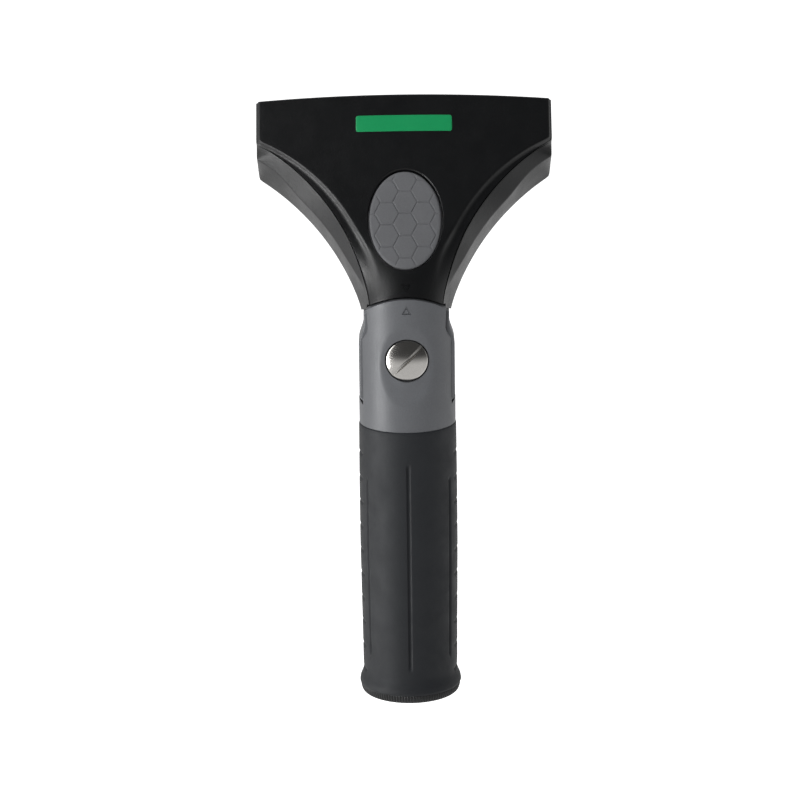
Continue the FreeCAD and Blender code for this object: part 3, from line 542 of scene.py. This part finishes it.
def mouth_cutters():
    """The slot for the channel: a wide room under two lips, with eased lip edges."""
    wide = SIDE + 3
    outline = [
        (4.5, 61.4), (15.0, 61.4), (15.0, 67.7), (14.5, 68.2), (14.0, 68.6), (14.0, 70.6),
        (14.6, 71.7), (14.6, 76), (4.9, 76), (4.9, 71.7), (5.5, 70.6), (5.5, 68.6), (5.0, 68.2),
        (4.5, 67.7),
    ]
    def put(d, t, x):
        return leaned(x, d, t)
    return prism("mouth", outline, put, -wide, wide)


def box_cutter(name, half_width, front, rear, low, high):
    return prism(name, box_outline((-half_width, low), (half_width, high)), in_head, front, rear)


def screw_spots():
    """Middles of the four cover screws in the head's axes, as (x, t)."""
    for across, up in ((33.0, 53.0), (17.6, 30.0)):
        yield across, up
        yield -across, up


def make_rear_shell():
    piece = solid_of_sections("rear_shell", [shell_section(t) for t in stations()])
    tools = [
        shoulder_cutter("shell_shoulder"),
        below_pivot_cutter("shell_low"),
        mouth_cutters(),
        cavity_cutter(),
        box_cutter("lever_window", LEVER_HALF, 2.0, 5.0, 50.0, LEVER_TOP),
        prism("pocket", round_outline(14.3, 19.5, (0, BUTTON_MIDDLE)), in_head, 2.0, 6.2),
    ]
    spigot = box_outline((-9.02, PIVOT_UP), (9.02, 150.02))
    tools.append(prism("spigot", spigot, in_front_view, -5.02, 5.02))
    for sign in (-1, 1):
        hole = round_outline(PIN_WAY, PIN_WAY, (sign * PIN_OUT, PIN_UP), 32)
        tools.append(prism(f"pin_{sign + 1}", hole, in_front_view, -9.02, 9.02))
    for index, spot in enumerate(screw_spots()):
        way = round_outline(SCREW_WAY, SCREW_WAY, spot, 32)
        sink = round_outline(2.5, 2.5, spot, 48)
        tools.append(prism(f"way_{index}", way, in_head, 0.0, 17.2))
        tools.append(prism(f"sink_{index}", sink, in_head, 17.0, 24.0))
    def across_head(d, t, x):
        return leaned(x, d, t)
    pin = round_outline(1.22, 1.22, (5.0, 55.5), 32)
    tools.append(prism("cross_pin", pin, across_head, -27.02, 27.02))
    guide = round_outline(1.95, 1.95, GUIDE_SPOT, 32)
    tools.append(prism("guide", guide, in_head, 2.0, HOLLOW_FLOOR))
    carve(piece, *tools)
    outward(piece)
    return crisp(piece)


# --------------------------------------------------------------------------------- button
CELL_ACROSS = 6.2
CELL_UP = 7.85
CELL_MIDDLE = 25.35


def cell_border_distance(x, t):
    """Distance from a point of the button's face to the nearest border of its hexagons."""
    stretch = CELL_UP * math.sqrt(3) / 2 / CELL_ACROSS
    found = []
    column = round(x / CELL_ACROSS)
    for c in (column - 1, column, column + 1):
        shift = 0.5 * (c % 2)
        row = round((t - CELL_MIDDLE) / CELL_UP - shift)
        for r in (row - 1, row, row + 1):
            spot = (c * CELL_ACROSS * stretch, CELL_MIDDLE + (r + shift) * CELL_UP)
            found.append((math.hypot(x * stretch - spot[0], t - spot[1]), spot))
    found.sort()
    (near, first), (far, second) = found[:2]
    return (far**2 - near**2) / (2 * math.hypot(second[0] - first[0], second[1] - first[1]))


def make_button():
    """Soft oval pad with shallow grooves between hexagons and a rounded rim."""
    across, up, around, rings = BUTTON_ACROSS, BUTTON_UP, 300, 76
    rim, groove_half, groove_depth = 0.9, 0.34, 0.3
    rows = []
    for k in range(rings + 1):
        share = (k / rings) ** 0.9
        inward = (1 - share) * across
        row = []
        for step in range(around):
            angle = 2 * math.pi * step / around
            x, t = share * across * math.cos(angle), BUTTON_MIDDLE + share * up * math.sin(angle)
            groove = ease(1 - cell_border_distance(x, t) / groove_half) * groove_depth
            over = max(rim - inward, 0.0)
            fall = rim - math.sqrt(max(rim**2 - over**2, 0.0))
            dome = 0.25 * share**2 + crown(x, t) * 0.25
            depth = -1.1 + dome + groove * (1 - over / rim) + fall * 0.7
            row.append(leaned(x, depth, t))
        rows.append(row)
    count = around
    points = [rows[0][0]] + [point for row in rows[1:] for point in row]
    foot = [leaned(across * math.cos(2 * math.pi * s / around), 0.9,
                   BUTTON_MIDDLE + up * math.sin(2 * math.pi * s / around)) for s in range(around)]
    points += foot
    faces = [(0, 1 + s, 1 + (s + 1) % count) for s in range(count)]
    for k in range(rings):
        first, second = 1 + k * count, 1 + (k + 1) * count
        for s in range(count):
            after = (s + 1) % count
            faces.append((first + s, first + after, second + after, second + s))
    start = 1 + rings * count
    faces.append(tuple(start + s for s in range(count)))
    return crisp(new_piece("button_face", points, faces), 50)


# --------------------------------------------------------------------------------- springs
WIRE_RADIUS = 0.35
COIL_PITCH = 1.3
BUTTON_SPRING_ENDS = (3.3, 10.0)
LEVER_SPRING_ENDS = (8.1, 16.6)
LEVER_SPRING_SPOTS = ((-13.0, 42.5), (13.0, 42.5))


def make_coils(name, spots, radius, ends):
    """Round-wire springs along the head's depth, one at each (x, t) spot."""
    around, per_turn = 10, 28
    low, high = ends[0] + WIRE_RADIUS, ends[1] - WIRE_RADIUS
    turns = (high - low) / COIL_PITCH
    count = round(turns * per_turn)
    points, faces = [], []
    for x, t in spots:
        start = len(points)
        for step in range(count + 1):
            angle = 2 * math.pi * turns * step / count
            depth = mix(low, high, step / count)
            for k in range(around):
                turn = 2 * math.pi * k / around
                reach = radius + WIRE_RADIUS * math.cos(turn)
                spot = (x + reach * math.cos(angle), t + reach * math.sin(angle))
                points.append(leaned(spot[0], depth + WIRE_RADIUS * math.sin(turn), spot[1]))
        for step in range(count):
            first = start + step * around
            for k in range(around):
                after = (k + 1) % around
                faces.append((first + k, first + after, first + around + after, first + around + k))
        last = start + count * around
        faces += [tuple(range(start, start + around)), tuple(range(last, last + around))]
    return crisp(new_piece(name, points, faces), 60)


# ----------------------------------------------------------------------------------- badge
def make_badge():
    """A plain label bar that follows the face's crown."""
    half_width, half_height, corner, middle = 16.3, 2.9, 0.8, 61.4
    outline = []
    for quarter, (sx, st) in enumerate(((1, 1), (-1, 1), (-1, -1), (1, -1))):
        for k in range(9):
            angle = math.radians(90 * quarter + 90 * k / 8)
            x = sx * (half_width - corner) + corner * math.cos(angle)
            outline.append((x, st * (half_height - corner) + corner * math.sin(angle)))
        if quarter % 2 == 0:
            end = outline[-1]
            outline += [(mix(end[0], -end[0], k / 24), end[1]) for k in range(1, 24)]
    levels = [(0.3, 0.0), (0.6, 0.0), (0.85, 0.0), (0.97, 0.0), (0.995, 0.03), (1.0, 0.1)]
    rows = []
    for share, low in levels:
        row = []
        for x, t in outline:
            x, t = x * share, middle + t * share
            row.append(leaned(x, crown(x, t) - 0.14 + low, t))
        rows.append(row)
    rows.append([leaned(x, crown(x, middle + t) + 0.25, middle + t) for x, t in outline])
    core = [(x * 0.2, t * 0.2) for x, t in outline]
    rows.append([leaned(x, crown(x, middle) + 0.3, middle + t) for x, t in core])
    rows.reverse()
    return crisp(tube_of_rows("label_bar", rows), 50)


# ------------------------------------------------------------------------ collar and tongue
DISH_MIDDLE = 119.9
DISH_ACROSS = 9.6
DISH_UP = 14.6
DISH_DEPTH = 1.25


def dish_at(x, z):
    """Depth of the shallow oval dish around the screw."""
    far = (x / DISH_ACROSS) ** 2 + ((z - DISH_MIDDLE) / DISH_UP) ** 2
    return DISH_DEPTH * ease(1.25 * (1 - far)) if far < 1 else 0.0


def turned_rows(profile, around, radius_at):
    """Rows about the grip's axis from a closed profile of (radius, height, is outside)."""
    rows = []
    for step in range(around):
        angle = 2 * math.pi * step / around
        row = []
        for radius, z, outside in profile:
            reach = radius_at(angle, radius, z) if outside else radius
            row.append(place(reach * math.sin(angle), -reach * math.cos(angle), z))
        rows.append(row)
    return rows


def make_collar():
    top = PIVOT_UP + CHEEK_RADIUS
    seat = GRIP_HIGH.z
    steps = [seat + 0.25 + (top + 1 - seat) * k / 60 for k in range(61)]
    profile = [(8.5, 82.0, 0), (12.0, 60.0, 0), (12.0, 1.0, 0), (12.6, 0.0, 0), (14.4, 0.0, 0)]
    profile += [(14.4, seat, 0), (16.25, seat, 0)]
    profile += [(COLLAR_RADIUS, z, 1) for z in steps]
    profile += [(0.01, steps[-1], 0), (0.01, 82.0, 0)]

    def dished(angle, radius, z):
        if math.cos(angle) <= 0:
            return radius
        return radius - dish_at(radius * math.sin(angle), z)

    piece = tube_of_rows("collar", turned_rows(profile, 256, dished), closed=True)
    rim = CHEEK_RADIUS
    crown_room = [(rim, -30), (rim + 20, -30), (rim + 20, 30), (rim, 30)]
    half_turn = 64
    rows = []
    for k in range(half_turn + 1):
        angle = math.radians(-75 + 150 * k / half_turn)
        rows.append([about_pivot(radius, angle, y) for radius, y in crown_room])
    roof = tube_of_rows("cheek_roof", rows)
    slot_half = TONGUE_HALF + 0.4
    waist = [(30, 105), (COLLAR_RADIUS + 0.6, 105), (COLLAR_RADIUS + 0.6, 125.5)]
    for k in range(13):
        share = k / 12
        waist.append((mix(15.6, 13.1, ease(share)), 125.5 + 6.5 * share))
    waist += [(13.3, 136), (13.7, 141), (13.9, 150), (30, 150)]
    seat_drum = pivot_drum("tongue_seat", 23.0, -slot_half, slot_half)
    above = box_outline((-30, PIVOT_UP), (30, 160))
    gap = prism("slot", above, in_front_view, -slot_half, slot_half)
    tools = [roof, seat_drum, gap]
    for name, sign in (("left", -1), ("right", 1)):
        outline = [(sign * x, z) for x, z in waist]
        tools.append(prism(f"waist_{name}", outline, in_front_view, -30, 30))
    tools += [
        pivot_drum("counterbore", 7.5, -30, -11.0),
        pivot_drum("screw_way", 3.3, -12, 12),
        prism("nut_room", hexagon_outline(5.1), in_front_view, 10.5, 30),
        prism("click_room", round_outline(3, 3, (0, 30.0)), in_front_view, 8.0, 30),
    ]
    mark_middle = (0, PIVOT_UP + 17.2)
    tools.append(
        triangle_ring("collar_mark", mark_middle, 1.9, 0.45, in_front_view, -20, -15.9, False)
    )
    carve(piece, *tools)
    outward(piece)
    return crisp(piece)


def hexagon_outline(half_flats):
    reach = half_flats * 2 / math.sqrt(3)
    angles = [math.radians(60 * k) for k in range(6)]
    return [(reach * math.cos(a), PIVOT_UP + reach * math.sin(a)) for a in angles]


def make_tongue():
    """The grey tongue: a plate with rounded edges and a round lower end."""
    wide, waist = TONGUE_HIGH.x, 14.5
    radius, top_radius = 22.2, 20.6
    low_angle = math.asin(wide / radius)
    outline = []
    for k in range(17):
        angle = math.pi + low_angle - 2 * low_angle * k / 16
        outline.append((radius * math.sin(angle), PIVOT_UP + radius * math.cos(angle)))
    outline = [(-x, z) for x, z in outline]
    side = [(wide, PIVOT_UP + 3.5)]
    for k in range(1, 12):
        share = k / 12
        side.append((mix(wide, waist, ease(share)), PIVOT_UP + 3.5 + 7.5 * share))
    side.append((waist, PIVOT_UP + 11.5))
    top_angle = math.asin(waist / top_radius)
    outline = sorted(outline, key=lambda spot: spot[0])
    arc = []
    for k in range(25):
        angle = top_angle - 2 * top_angle * k / 24
        arc.append((top_radius * math.sin(angle), PIVOT_UP + top_radius * math.cos(angle)))
    left_side = [(-x, z) for x, z in reversed(side)]
    outline = outline + side + arc + left_side
    half = TONGUE_HALF
    piece = prism("tongue", outline, in_front_view, -half, half)
    bevel = piece.modifiers.new("eased", "BEVEL")
    bevel.width = 0.7 * MM
    bevel.segments = 3
    bevel.limit_method = "ANGLE"
    bevel.angle_limit = math.radians(60)
    carve(piece)
    root = box_outline((-9, PIVOT_UP + 10), (9, 150))
    spigot = prism("tongue_spigot", root, in_front_view, -5, 5)
    carve(piece, spigot, operation="UNION")
    tools = [
        pivot_drum("bush_room", 5.0, -10, 10),
        pivot_drum("front_disc", 10.0, -10, 0.8 - half),
        pivot_drum("rear_disc", 10.0, half - 0.8, 10),
    ]
    for sign in (-1, 1):
        hole = round_outline(PIN_WAY, PIN_WAY, (sign * PIN_OUT, PIN_UP), 32)
        tools.append(prism(f"tongue_pin_{sign + 1}", hole, in_front_view, -9, 9))
    carve(piece, *tools)
    outward(piece)
    return crisp(piece)


def make_screw():
    """Domed, slotted screw with an eased rim."""
    front, rear = SCREW_LOW.y, SCREW_HIGH.y
    radius, crown_rise, under = 7.05, 2.0, -12.0
    sphere = (radius**2 + crown_rise**2) / (2 * crown_rise)
    profile = [(0.01, front)]
    for k in range(1, 25):
        out = (radius - 0.2) * k / 24
        profile.append((out, front + sphere - math.sqrt(sphere**2 - out**2)))
    rim = front + crown_rise
    profile += [(radius - 0.06, rim + 0.02), (radius, rim + 0.22), (radius, under - 0.3)]
    profile += [(radius - 0.3, under), (3.0, under), (3.0, rear - 0.6), (2.5, rear), (0.01, rear)]
    piece = pivot_turned("screw", profile, 160)
    turn = math.radians(44)
    half_slot = 0.62
    outline = []
    for u, v in box_outline((-9, -half_slot), (9, half_slot)):
        x, z = u * math.cos(turn) - v * math.sin(turn), u * math.sin(turn) + v * math.cos(turn)
        outline.append((x, PIVOT_UP + z))
    carve(piece, prism("driver_slot", outline, in_front_view, front - 1, front + 2.2))
    bevel = piece.modifiers.new("burr", "BEVEL")
    bevel.width = 0.12 * MM
    bevel.segments = 2
    bevel.limit_method = "ANGLE"
    bevel.angle_limit = math.radians(50)
    carve(piece)
    return crisp(piece, 40)


# ------------------------------------------------------------------------------------ grip
GRIP_PROFILE = [
    (2.8, 17.5), (3.1, 17.7), (3.7, 17.74), (4.15, 17.58), (4.5, 17.56), (4.9, 17.5), (5.6, 17.2),
    (6.4, 16.85), (7.3, 16.55), (8.4, 16.38), (9.6, 16.38), (12.0, 16.46), (24.0, 16.55),
    (38.0, 16.72), (55.0, 16.88), (75.0, 16.85), (90.0, 16.75), (96.4, 16.7), (96.9, 16.6),
    (97.1, 16.4),
]
SIDE_GROOVE = 57
NOTCH_PITCH = 8.7


def profile_radius(z):
    """Radius of the grip at a height, eased between the profile's points."""
    for (z0, r0), (z1, r1) in zip(GRIP_PROFILE, GRIP_PROFILE[1:], strict=False):
        if z <= z1:
            return mix(r0, r1, (z - z0) / (z1 - z0))
    return GRIP_PROFILE[-1][1]


def groove_at(angle, z):
    """Depth of the long grooves: one at the front and back, two on each side."""
    depth = 0.0
    degrees = math.degrees(angle) % 360
    for middle in (0, SIDE_GROOVE, 180 - SIDE_GROOVE, 180, 180 + SIDE_GROOVE, 360 - SIDE_GROOVE):
        away = abs((degrees - middle + 180) % 360 - 180)
        across = math.radians(away) * 16.7
        if across > 1.3:
            continue
        low, high = (11.0, 86.5) if middle % 180 == 0 else (13.5, 80.0)
        ends = ease((z - low) / 2.5) * ease((high - z) / 2.5)
        depth = max(depth, 0.62 * ends * ease(1.15 * (1 - across / 0.85)))
    return depth


def notch_at(angle, z):
    """Depth of the short notches across each side of the grip."""
    degrees = math.degrees(angle) % 180
    away = abs(degrees - 90)
    if away > 24 or z > 92 or z < 6:
        return 0.0
    step = (z - 8.5) / NOTCH_PITCH
    across = abs(step - round(step)) * NOTCH_PITCH
    return 0.5 * ease(1 - across / 0.85) * ease((24 - away) / 5)


def make_grip():
    heights, z = [], GRIP_LOW.z
    while z < GRIP_HIGH.z - 0.9:
        heights.append(z)
        z += 0.5
    heights += [GRIP_HIGH.z - gap for gap in (0.7, 0.5, 0.35, 0.2, 0.1, 0.0)]
    outer = [(profile_radius(z), z, 1) for z in heights]
    inner = [(14.45, GRIP_HIGH.z, 0), (14.45, 60.0, 0), (14.45, GRIP_LOW.z, 0)]

    def grooved(angle, radius, z):
        return radius - groove_at(angle, z) - notch_at(angle, z)

    rows = turned_rows(outer + inner, 396, grooved)
    piece = tube_of_rows("grip", rows, closed=True)
    carve(piece, prism("grip_click", round_outline(3, 3, (0, 30.0)), in_front_view, 8.0, 30))
    outward(piece)
    return crisp(piece, 40)


def make_end_ring():
    """The hard ring below the sleeve, with fine upright ribs."""
    ribs, rib_depth, inner = 110, 0.26, 14.45
    top = GRIP_LOW.z
    levels = [(17.46 - 0.55 * (k / 8) ** 2, top - 0.1 - (top - 0.45) * k / 8, 1) for k in range(9)]
    profile = [(inner, top, 0), (17.2, top, 0), *levels, (16.5, 0.0, 0), (inner, 0.0, 0)]

    def ribbed(angle, radius, z):
        return radius - rib_depth * (0.5 - 0.5 * math.cos(ribs * angle))

    rows = turned_rows(profile, ribs * 8, ribbed)
    return crisp(tube_of_rows("ribbed_ring", rows, closed=True), 50)


# ------------------------------------------------------------------------------- materials
def node(tree, kind, spot, **values):
    """A shader node; its inputs are set by name, with double underscores for spaces."""
    item = tree.nodes.new(kind)
    item.location = spot
    for name, value in values.items():
        socket = name.replace("__", " ")
        if socket in item.inputs:
            item.inputs[socket].default_value = value
        else:
            setattr(item, name, value)
    return item


def noise(tree, scale, detail, roughness, spot):
    """Noise over the object's own coordinates, in cycles per metre."""
    where = node(tree, "ShaderNodeTexCoord", (spot[0] - 220, spot[1]))
    grain = node(tree, "ShaderNodeTexNoise", spot, Scale=scale, Detail=detail, Roughness=roughness)
    tree.links.new(where.outputs["Object"], grain.inputs["Vector"])
    return grain.outputs["Fac"]


def ramp(tree, source, low, high, spot):
    """Stretch a value from 0..1 to low..high."""
    span = node(tree, "ShaderNodeMapRange", spot)
    span.inputs["From Min"].default_value = 0.3
    span.inputs["From Max"].default_value = 0.7
    span.inputs["To Min"].default_value = low
    span.inputs["To Max"].default_value = high
    tree.links.new(source, span.inputs["Value"])
    return span.outputs["Result"]


def shade(rgb, factor):
    return (*(channel * factor for channel in rgb), 1)


def surface(name, colour, roughness, grain, depth, *, spread=0.12, metallic=0.0, coat=0.0,
            scratches=0.0, specular=0.5, patch=60):
    """A surface with uneven tone and gloss and two scales of bump: its grain, at grain
    cycles per metre and depth millimetres, and an even finer one."""
    material = bpy.data.materials.new(name)
    material.use_nodes = True
    tree = material.node_tree
    shader = tree.nodes["Principled BSDF"]
    shader.inputs["Metallic"].default_value = metallic
    shader.inputs["Coat Weight"].default_value = coat
    shader.inputs["Specular IOR Level"].default_value = specular
    tone = node(tree, "ShaderNodeMix", (-250, 300), data_type="RGBA")
    tone.inputs[6].default_value = shade(colour, 1 - spread)
    tone.inputs[7].default_value = shade(colour, 1 + spread)
    patches = noise(tree, patch, 4, 0.6, (-700, 300))
    speckle = noise(tree, grain * 0.8, 2, 0.5, (-700, 60))
    both = node(tree, "ShaderNodeMath", (-450, 200), operation="MULTIPLY_ADD")
    both.inputs[1].default_value = 0.5
    tree.links.new(speckle, both.inputs[0])
    half = node(tree, "ShaderNodeMath", (-560, 330), operation="MULTIPLY")
    half.inputs[1].default_value = 0.5
    tree.links.new(patches, half.inputs[0])
    tree.links.new(half.outputs[0], both.inputs[2])
    tree.links.new(ramp(tree, both.outputs[0], 0, 1, (-350, 100)), tone.inputs["Factor"])
    tree.links.new(tone.outputs[2], shader.inputs["Base Color"])
    gloss = ramp(tree, noise(tree, patch * 2.3, 5, 0.65, (-700, -150)), roughness * 0.86,
                 min(roughness * 1.14, 1.0), (-450, -150))
    tree.links.new(gloss, shader.inputs["Roughness"])
    coarse = node(tree, "ShaderNodeBump", (-250, -350), Strength=1.0, Distance=depth * MM)
    tree.links.new(noise(tree, grain, 3, 0.6, (-700, -400)), coarse.inputs["Height"])
    fine = node(tree, "ShaderNodeBump", (-60, -350), Strength=1.0, Distance=depth * 0.4 * MM)
    tree.links.new(noise(tree, grain * 2.7, 2, 0.5, (-700, -600)), fine.inputs["Height"])
    tree.links.new(coarse.outputs["Normal"], fine.inputs["Normal"])
    last = fine
    if scratches:
        last = add_scratches(tree, fine, scratches)
    tree.links.new(last.outputs["Normal"], shader.inputs["Normal"])
    return material


def add_scratches(tree, below, depth):
    """Thin stray scratches: narrow crests of a stretched noise."""
    where = node(tree, "ShaderNodeTexCoord", (-1100, -850))
    turned = node(tree, "ShaderNodeMapping", (-900, -850))
    turned.inputs["Rotation"].default_value = (0.3, 0.7, 0.4)
    turned.inputs["Scale"].default_value = (900, 900, 90)
    tree.links.new(where.outputs["Object"], turned.inputs["Vector"])
    lines = node(tree, "ShaderNodeTexNoise", (-700, -850), Scale=1.0, Detail=1.0)
    tree.links.new(turned.outputs["Vector"], lines.inputs["Vector"])
    thin = node(tree, "ShaderNodeMapRange", (-450, -850))
    thin.inputs["From Min"].default_value = 0.70
    thin.inputs["From Max"].default_value = 0.76
    tree.links.new(lines.outputs["Fac"], thin.inputs["Value"])
    bump = node(tree, "ShaderNodeBump", (120, -500), Strength=1.0, Distance=depth * MM)
    bump.invert = True
    tree.links.new(thin.outputs["Result"], bump.inputs["Height"])
    tree.links.new(below.outputs["Normal"], bump.inputs["Normal"])
    return bump


# each slot's colour, roughness, grain in cycles per metre and depth of the grain in millimetres
LOOKS = {
    "black_plastic": ((0.0046, 0.0049, 0.0054), 0.40, 2300, 0.045, {"specular": 0.45}),
    "grey_plastic": ((0.108, 0.112, 0.120), 0.46, 2600, 0.012, {"scratches": 0.02}),
    "black_rubber": ((0.0175, 0.0190, 0.0215), 0.62, 3000, 0.016, {"specular": 0.34}),
    "ring_plastic": ((0.006, 0.0064, 0.007), 0.5, 2500, 0.02, {}),
    "button_rubber": ((0.110, 0.112, 0.118), 0.6, 3200, 0.02, {"specular": 0.35}),
    "button_plastic": ((0.09, 0.09, 0.095), 0.5, 2500, 0.012, {}),
    "nickel_steel": (
        (0.70, 0.68, 0.65), 0.2, 900, 0.002, {"metallic": 1.0, "spread": 0.05, "scratches": 0.006}
    ),
    "steel": ((0.48, 0.48, 0.49), 0.32, 1400, 0.006, {"metallic": 1.0, "spread": 0.08}),
    "spring_steel": ((0.42, 0.42, 0.44), 0.28, 2500, 0.004, {"metallic": 1.0}),
    "bronze": ((0.50, 0.31, 0.12), 0.42, 2600, 0.012, {"metallic": 1.0}),
    "friction_nylon": ((0.62, 0.60, 0.53), 0.45, 2200, 0.01, {}),
    "pad_rubber": ((0.03, 0.03, 0.031), 0.75, 1800, 0.03, {}),
    "label_green": ((0.008, 0.245, 0.082), 0.4, 1500, 0.002, {"spread": 0.05, "coat": 0.1}),
}
MATERIALS = {name: surface(name, *look[:4], **look[4]) for name, look in LOOKS.items()}


def dress(piece, slot):
    piece.data.materials.clear()
    piece.data.materials.append(MATERIALS[slot])


# ------------------------------------------------------------------------------ assemble
def add(piece, body, slot, *nodes):
    """Give a piece its material and body and let it stand for CAD nodes."""
    dress(piece, slot)
    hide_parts(*nodes)
    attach(piece, body)


add(make_front_cover(), "head", "black_plastic", "front_cover")
add(make_rear_shell(), "head", "black_plastic", "head_body")
add(make_badge(), "head", "label_green", "badge")
add(make_button(), "button", "button_rubber", "button_pad")
add(make_collar(), "handle", "grey_plastic", "handle_core")
add(make_tongue(), "head", "grey_plastic", "swivel_tongue")
add(make_screw(), "swivel_screw", "nickel_steel", "swivel_screw")
add(make_grip(), "handle", "black_rubber", "grip_sleeve")

add(make_end_ring(), "handle", "ring_plastic", "end_ring")

button_coil = make_coils("button_coil", (GUIDE_SPOT,), 2.5, BUTTON_SPRING_ENDS)
add(button_coil, "head", "spring_steel", "button_spring")
leaned(0, 10.0, 20.5)
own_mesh(button_coil)
lever_coils = make_coils("lever_coils", LEVER_SPRING_SPOTS, 2.3, LEVER_SPRING_ENDS)
add(lever_coils, "head", "spring_steel", "lever_springs")
leaned(0, 16.6, 42.5)
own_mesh(lever_coils)

REPLACED = {
    "front_cover", "head_body", "badge", "button_pad", "handle_core", "swivel_tongue",
    "swivel_screw", "grip_sleeve", "end_ring", "button_spring", "lever_springs",
}
SLOTS = {part["node"]: part["material_slot"] for part in frame["record"]["subparts"]}
for name, slot in SLOTS.items():
    if name not in REPLACED:
        dress(frame["nodes"][name], slot)

# ------------------------------------------------------------------------- stage and light
FLOOR_UP = -60
FLOOR_REACH = 9000


def make_stage():
    """A plain pale floor that glows a little and neither lights nor shades the object."""
    outline = box_outline((-FLOOR_REACH, -FLOOR_REACH), (FLOOR_REACH, FLOOR_REACH))
    floor = new_piece("floor", [place(x, y, FLOOR_UP) for x, y in outline], [(0, 1, 2, 3)])
    material = bpy.data.materials.new("floor")
    material.use_nodes = True
    tree = material.node_tree
    shader = tree.nodes["Principled BSDF"]
    shader.inputs["Roughness"].default_value = 0.9
    tone = node(tree, "ShaderNodeMix", (-250, 0), data_type="RGBA")
    tone.inputs[6].default_value = (0.93, 0.93, 0.93, 1)
    tone.inputs[7].default_value = (0.96, 0.96, 0.96, 1)
    tree.links.new(noise(tree, 3, 2, 0.5, (-500, 0)), tone.inputs["Factor"])
    tree.links.new(tone.outputs[2], shader.inputs["Base Color"])
    shader.inputs["Emission Color"].default_value = (1, 1, 1, 1)
    shader.inputs["Emission Strength"].default_value = 0.9
    floor.data.materials.append(material)
    floor.visible_diffuse = False
    floor.visible_glossy = False
    floor.visible_shadow = False


def make_world():
    """White all round for the camera; for reflections, white at the sides, behind the object
    and below it, and dim on the side that faces the camera, as in a light tent."""
    world = bpy.data.worlds.new("tent")
    bpy.context.scene.world = world
    world.use_nodes = True
    tree = world.node_tree
    tree.nodes.clear()
    out = node(tree, "ShaderNodeOutputWorld", (600, 0))
    plain = node(tree, "ShaderNodeBackground", (200, 150), Color=(1, 1, 1, 1), Strength=1.0)
    tent = node(tree, "ShaderNodeBackground", (200, -50), Color=(1, 1, 1, 1))
    path = node(tree, "ShaderNodeLightPath", (0, 400))
    either = node(tree, "ShaderNodeMixShader", (400, 0))
    where = node(tree, "ShaderNodeTexCoord", (-800, -50))
    split = node(tree, "ShaderNodeSeparateXYZ", (-600, -50))
    tree.links.new(where.outputs["Generated"], split.inputs["Vector"])
    depth = node(tree, "ShaderNodeMapRange", (-400, -50), interpolation_type="SMOOTHSTEP")
    depth.inputs["From Min"].default_value = -0.45
    depth.inputs["From Max"].default_value = 0.2
    depth.inputs["To Min"].default_value = 0.05
    depth.inputs["To Max"].default_value = 0.55
    tree.links.new(split.outputs["Y"], depth.inputs["Value"])
    table = node(tree, "ShaderNodeMapRange", (-400, -300), interpolation_type="SMOOTHSTEP")
    table.inputs["From Min"].default_value = -0.4
    table.inputs["From Max"].default_value = 0.05
    table.inputs["To Min"].default_value = 0.52
    table.inputs["To Max"].default_value = 0.0
    tree.links.new(split.outputs["Z"], table.inputs["Value"])
    total = node(tree, "ShaderNodeMath", (-150, -150), operation="ADD")
    tree.links.new(depth.outputs["Result"], total.inputs[0])
    tree.links.new(table.outputs["Result"], total.inputs[1])
    tree.links.new(total.outputs[0], tent.inputs["Strength"])
    tree.links.new(path.outputs["Is Camera Ray"], either.inputs["Fac"])
    tree.links.new(tent.outputs[0], either.inputs[1])
    tree.links.new(plain.outputs[0], either.inputs[2])
    tree.links.new(either.outputs[0], out.inputs["Surface"])


def make_light(name, at, power, size, *, glossy=True, diffuse=True, target=(0, 0, 0.11)):
    """A soft rectangular lamp; without glossy it isn't seen in reflections, and without
    diffuse it is seen only there."""
    light = bpy.data.lights.new(name, "AREA")
    light.energy = power
    light.shape = "RECTANGLE"
    light.size, light.size_y = size
    lamp = bpy.data.objects.new(name, light)
    bpy.context.scene.collection.objects.link(lamp)
    lamp.location = at
    lamp.visible_glossy = glossy
    lamp.visible_diffuse = diffuse
    lamp.rotation_euler = (Vector(target) - Vector(at)).to_track_quat("-Z", "Y").to_euler()


def make_camera():
    distance, elevation, roll = 1.0, math.radians(15.0), math.radians(-0.74)
    target = Vector((-0.00252, 0, 0.10442))
    camera = bpy.data.objects.new("camera", bpy.data.cameras.new("camera"))
    bpy.context.scene.collection.objects.link(camera)
    camera.data.lens = 131.3
    camera.data.sensor_width = 36.0
    camera.data.clip_end = 50
    spot = target + distance * Vector((0, -math.cos(elevation), math.sin(elevation)))
    turn = (target - spot).to_track_quat("-Z", "Y").to_matrix() @ Matrix.Rotation(roll, 3, "Z")
    camera.matrix_world = Matrix.Translation(spot) @ turn.to_4x4()
    bpy.context.scene.camera = camera


make_stage()
make_world()
make_light("key", (-0.8, -0.3, 0.42), 3.6, (0.5, 0.9))
make_light("front", (-0.2, -0.9, 0.6), 8.0, (0.5, 0.3), glossy=False)
make_light("edge", (-0.6, -0.27, -0.05), 2.6, (0.2, 0.4), diffuse=False)
make_camera()
bpy.context.scene.view_settings.view_transform = "Standard"
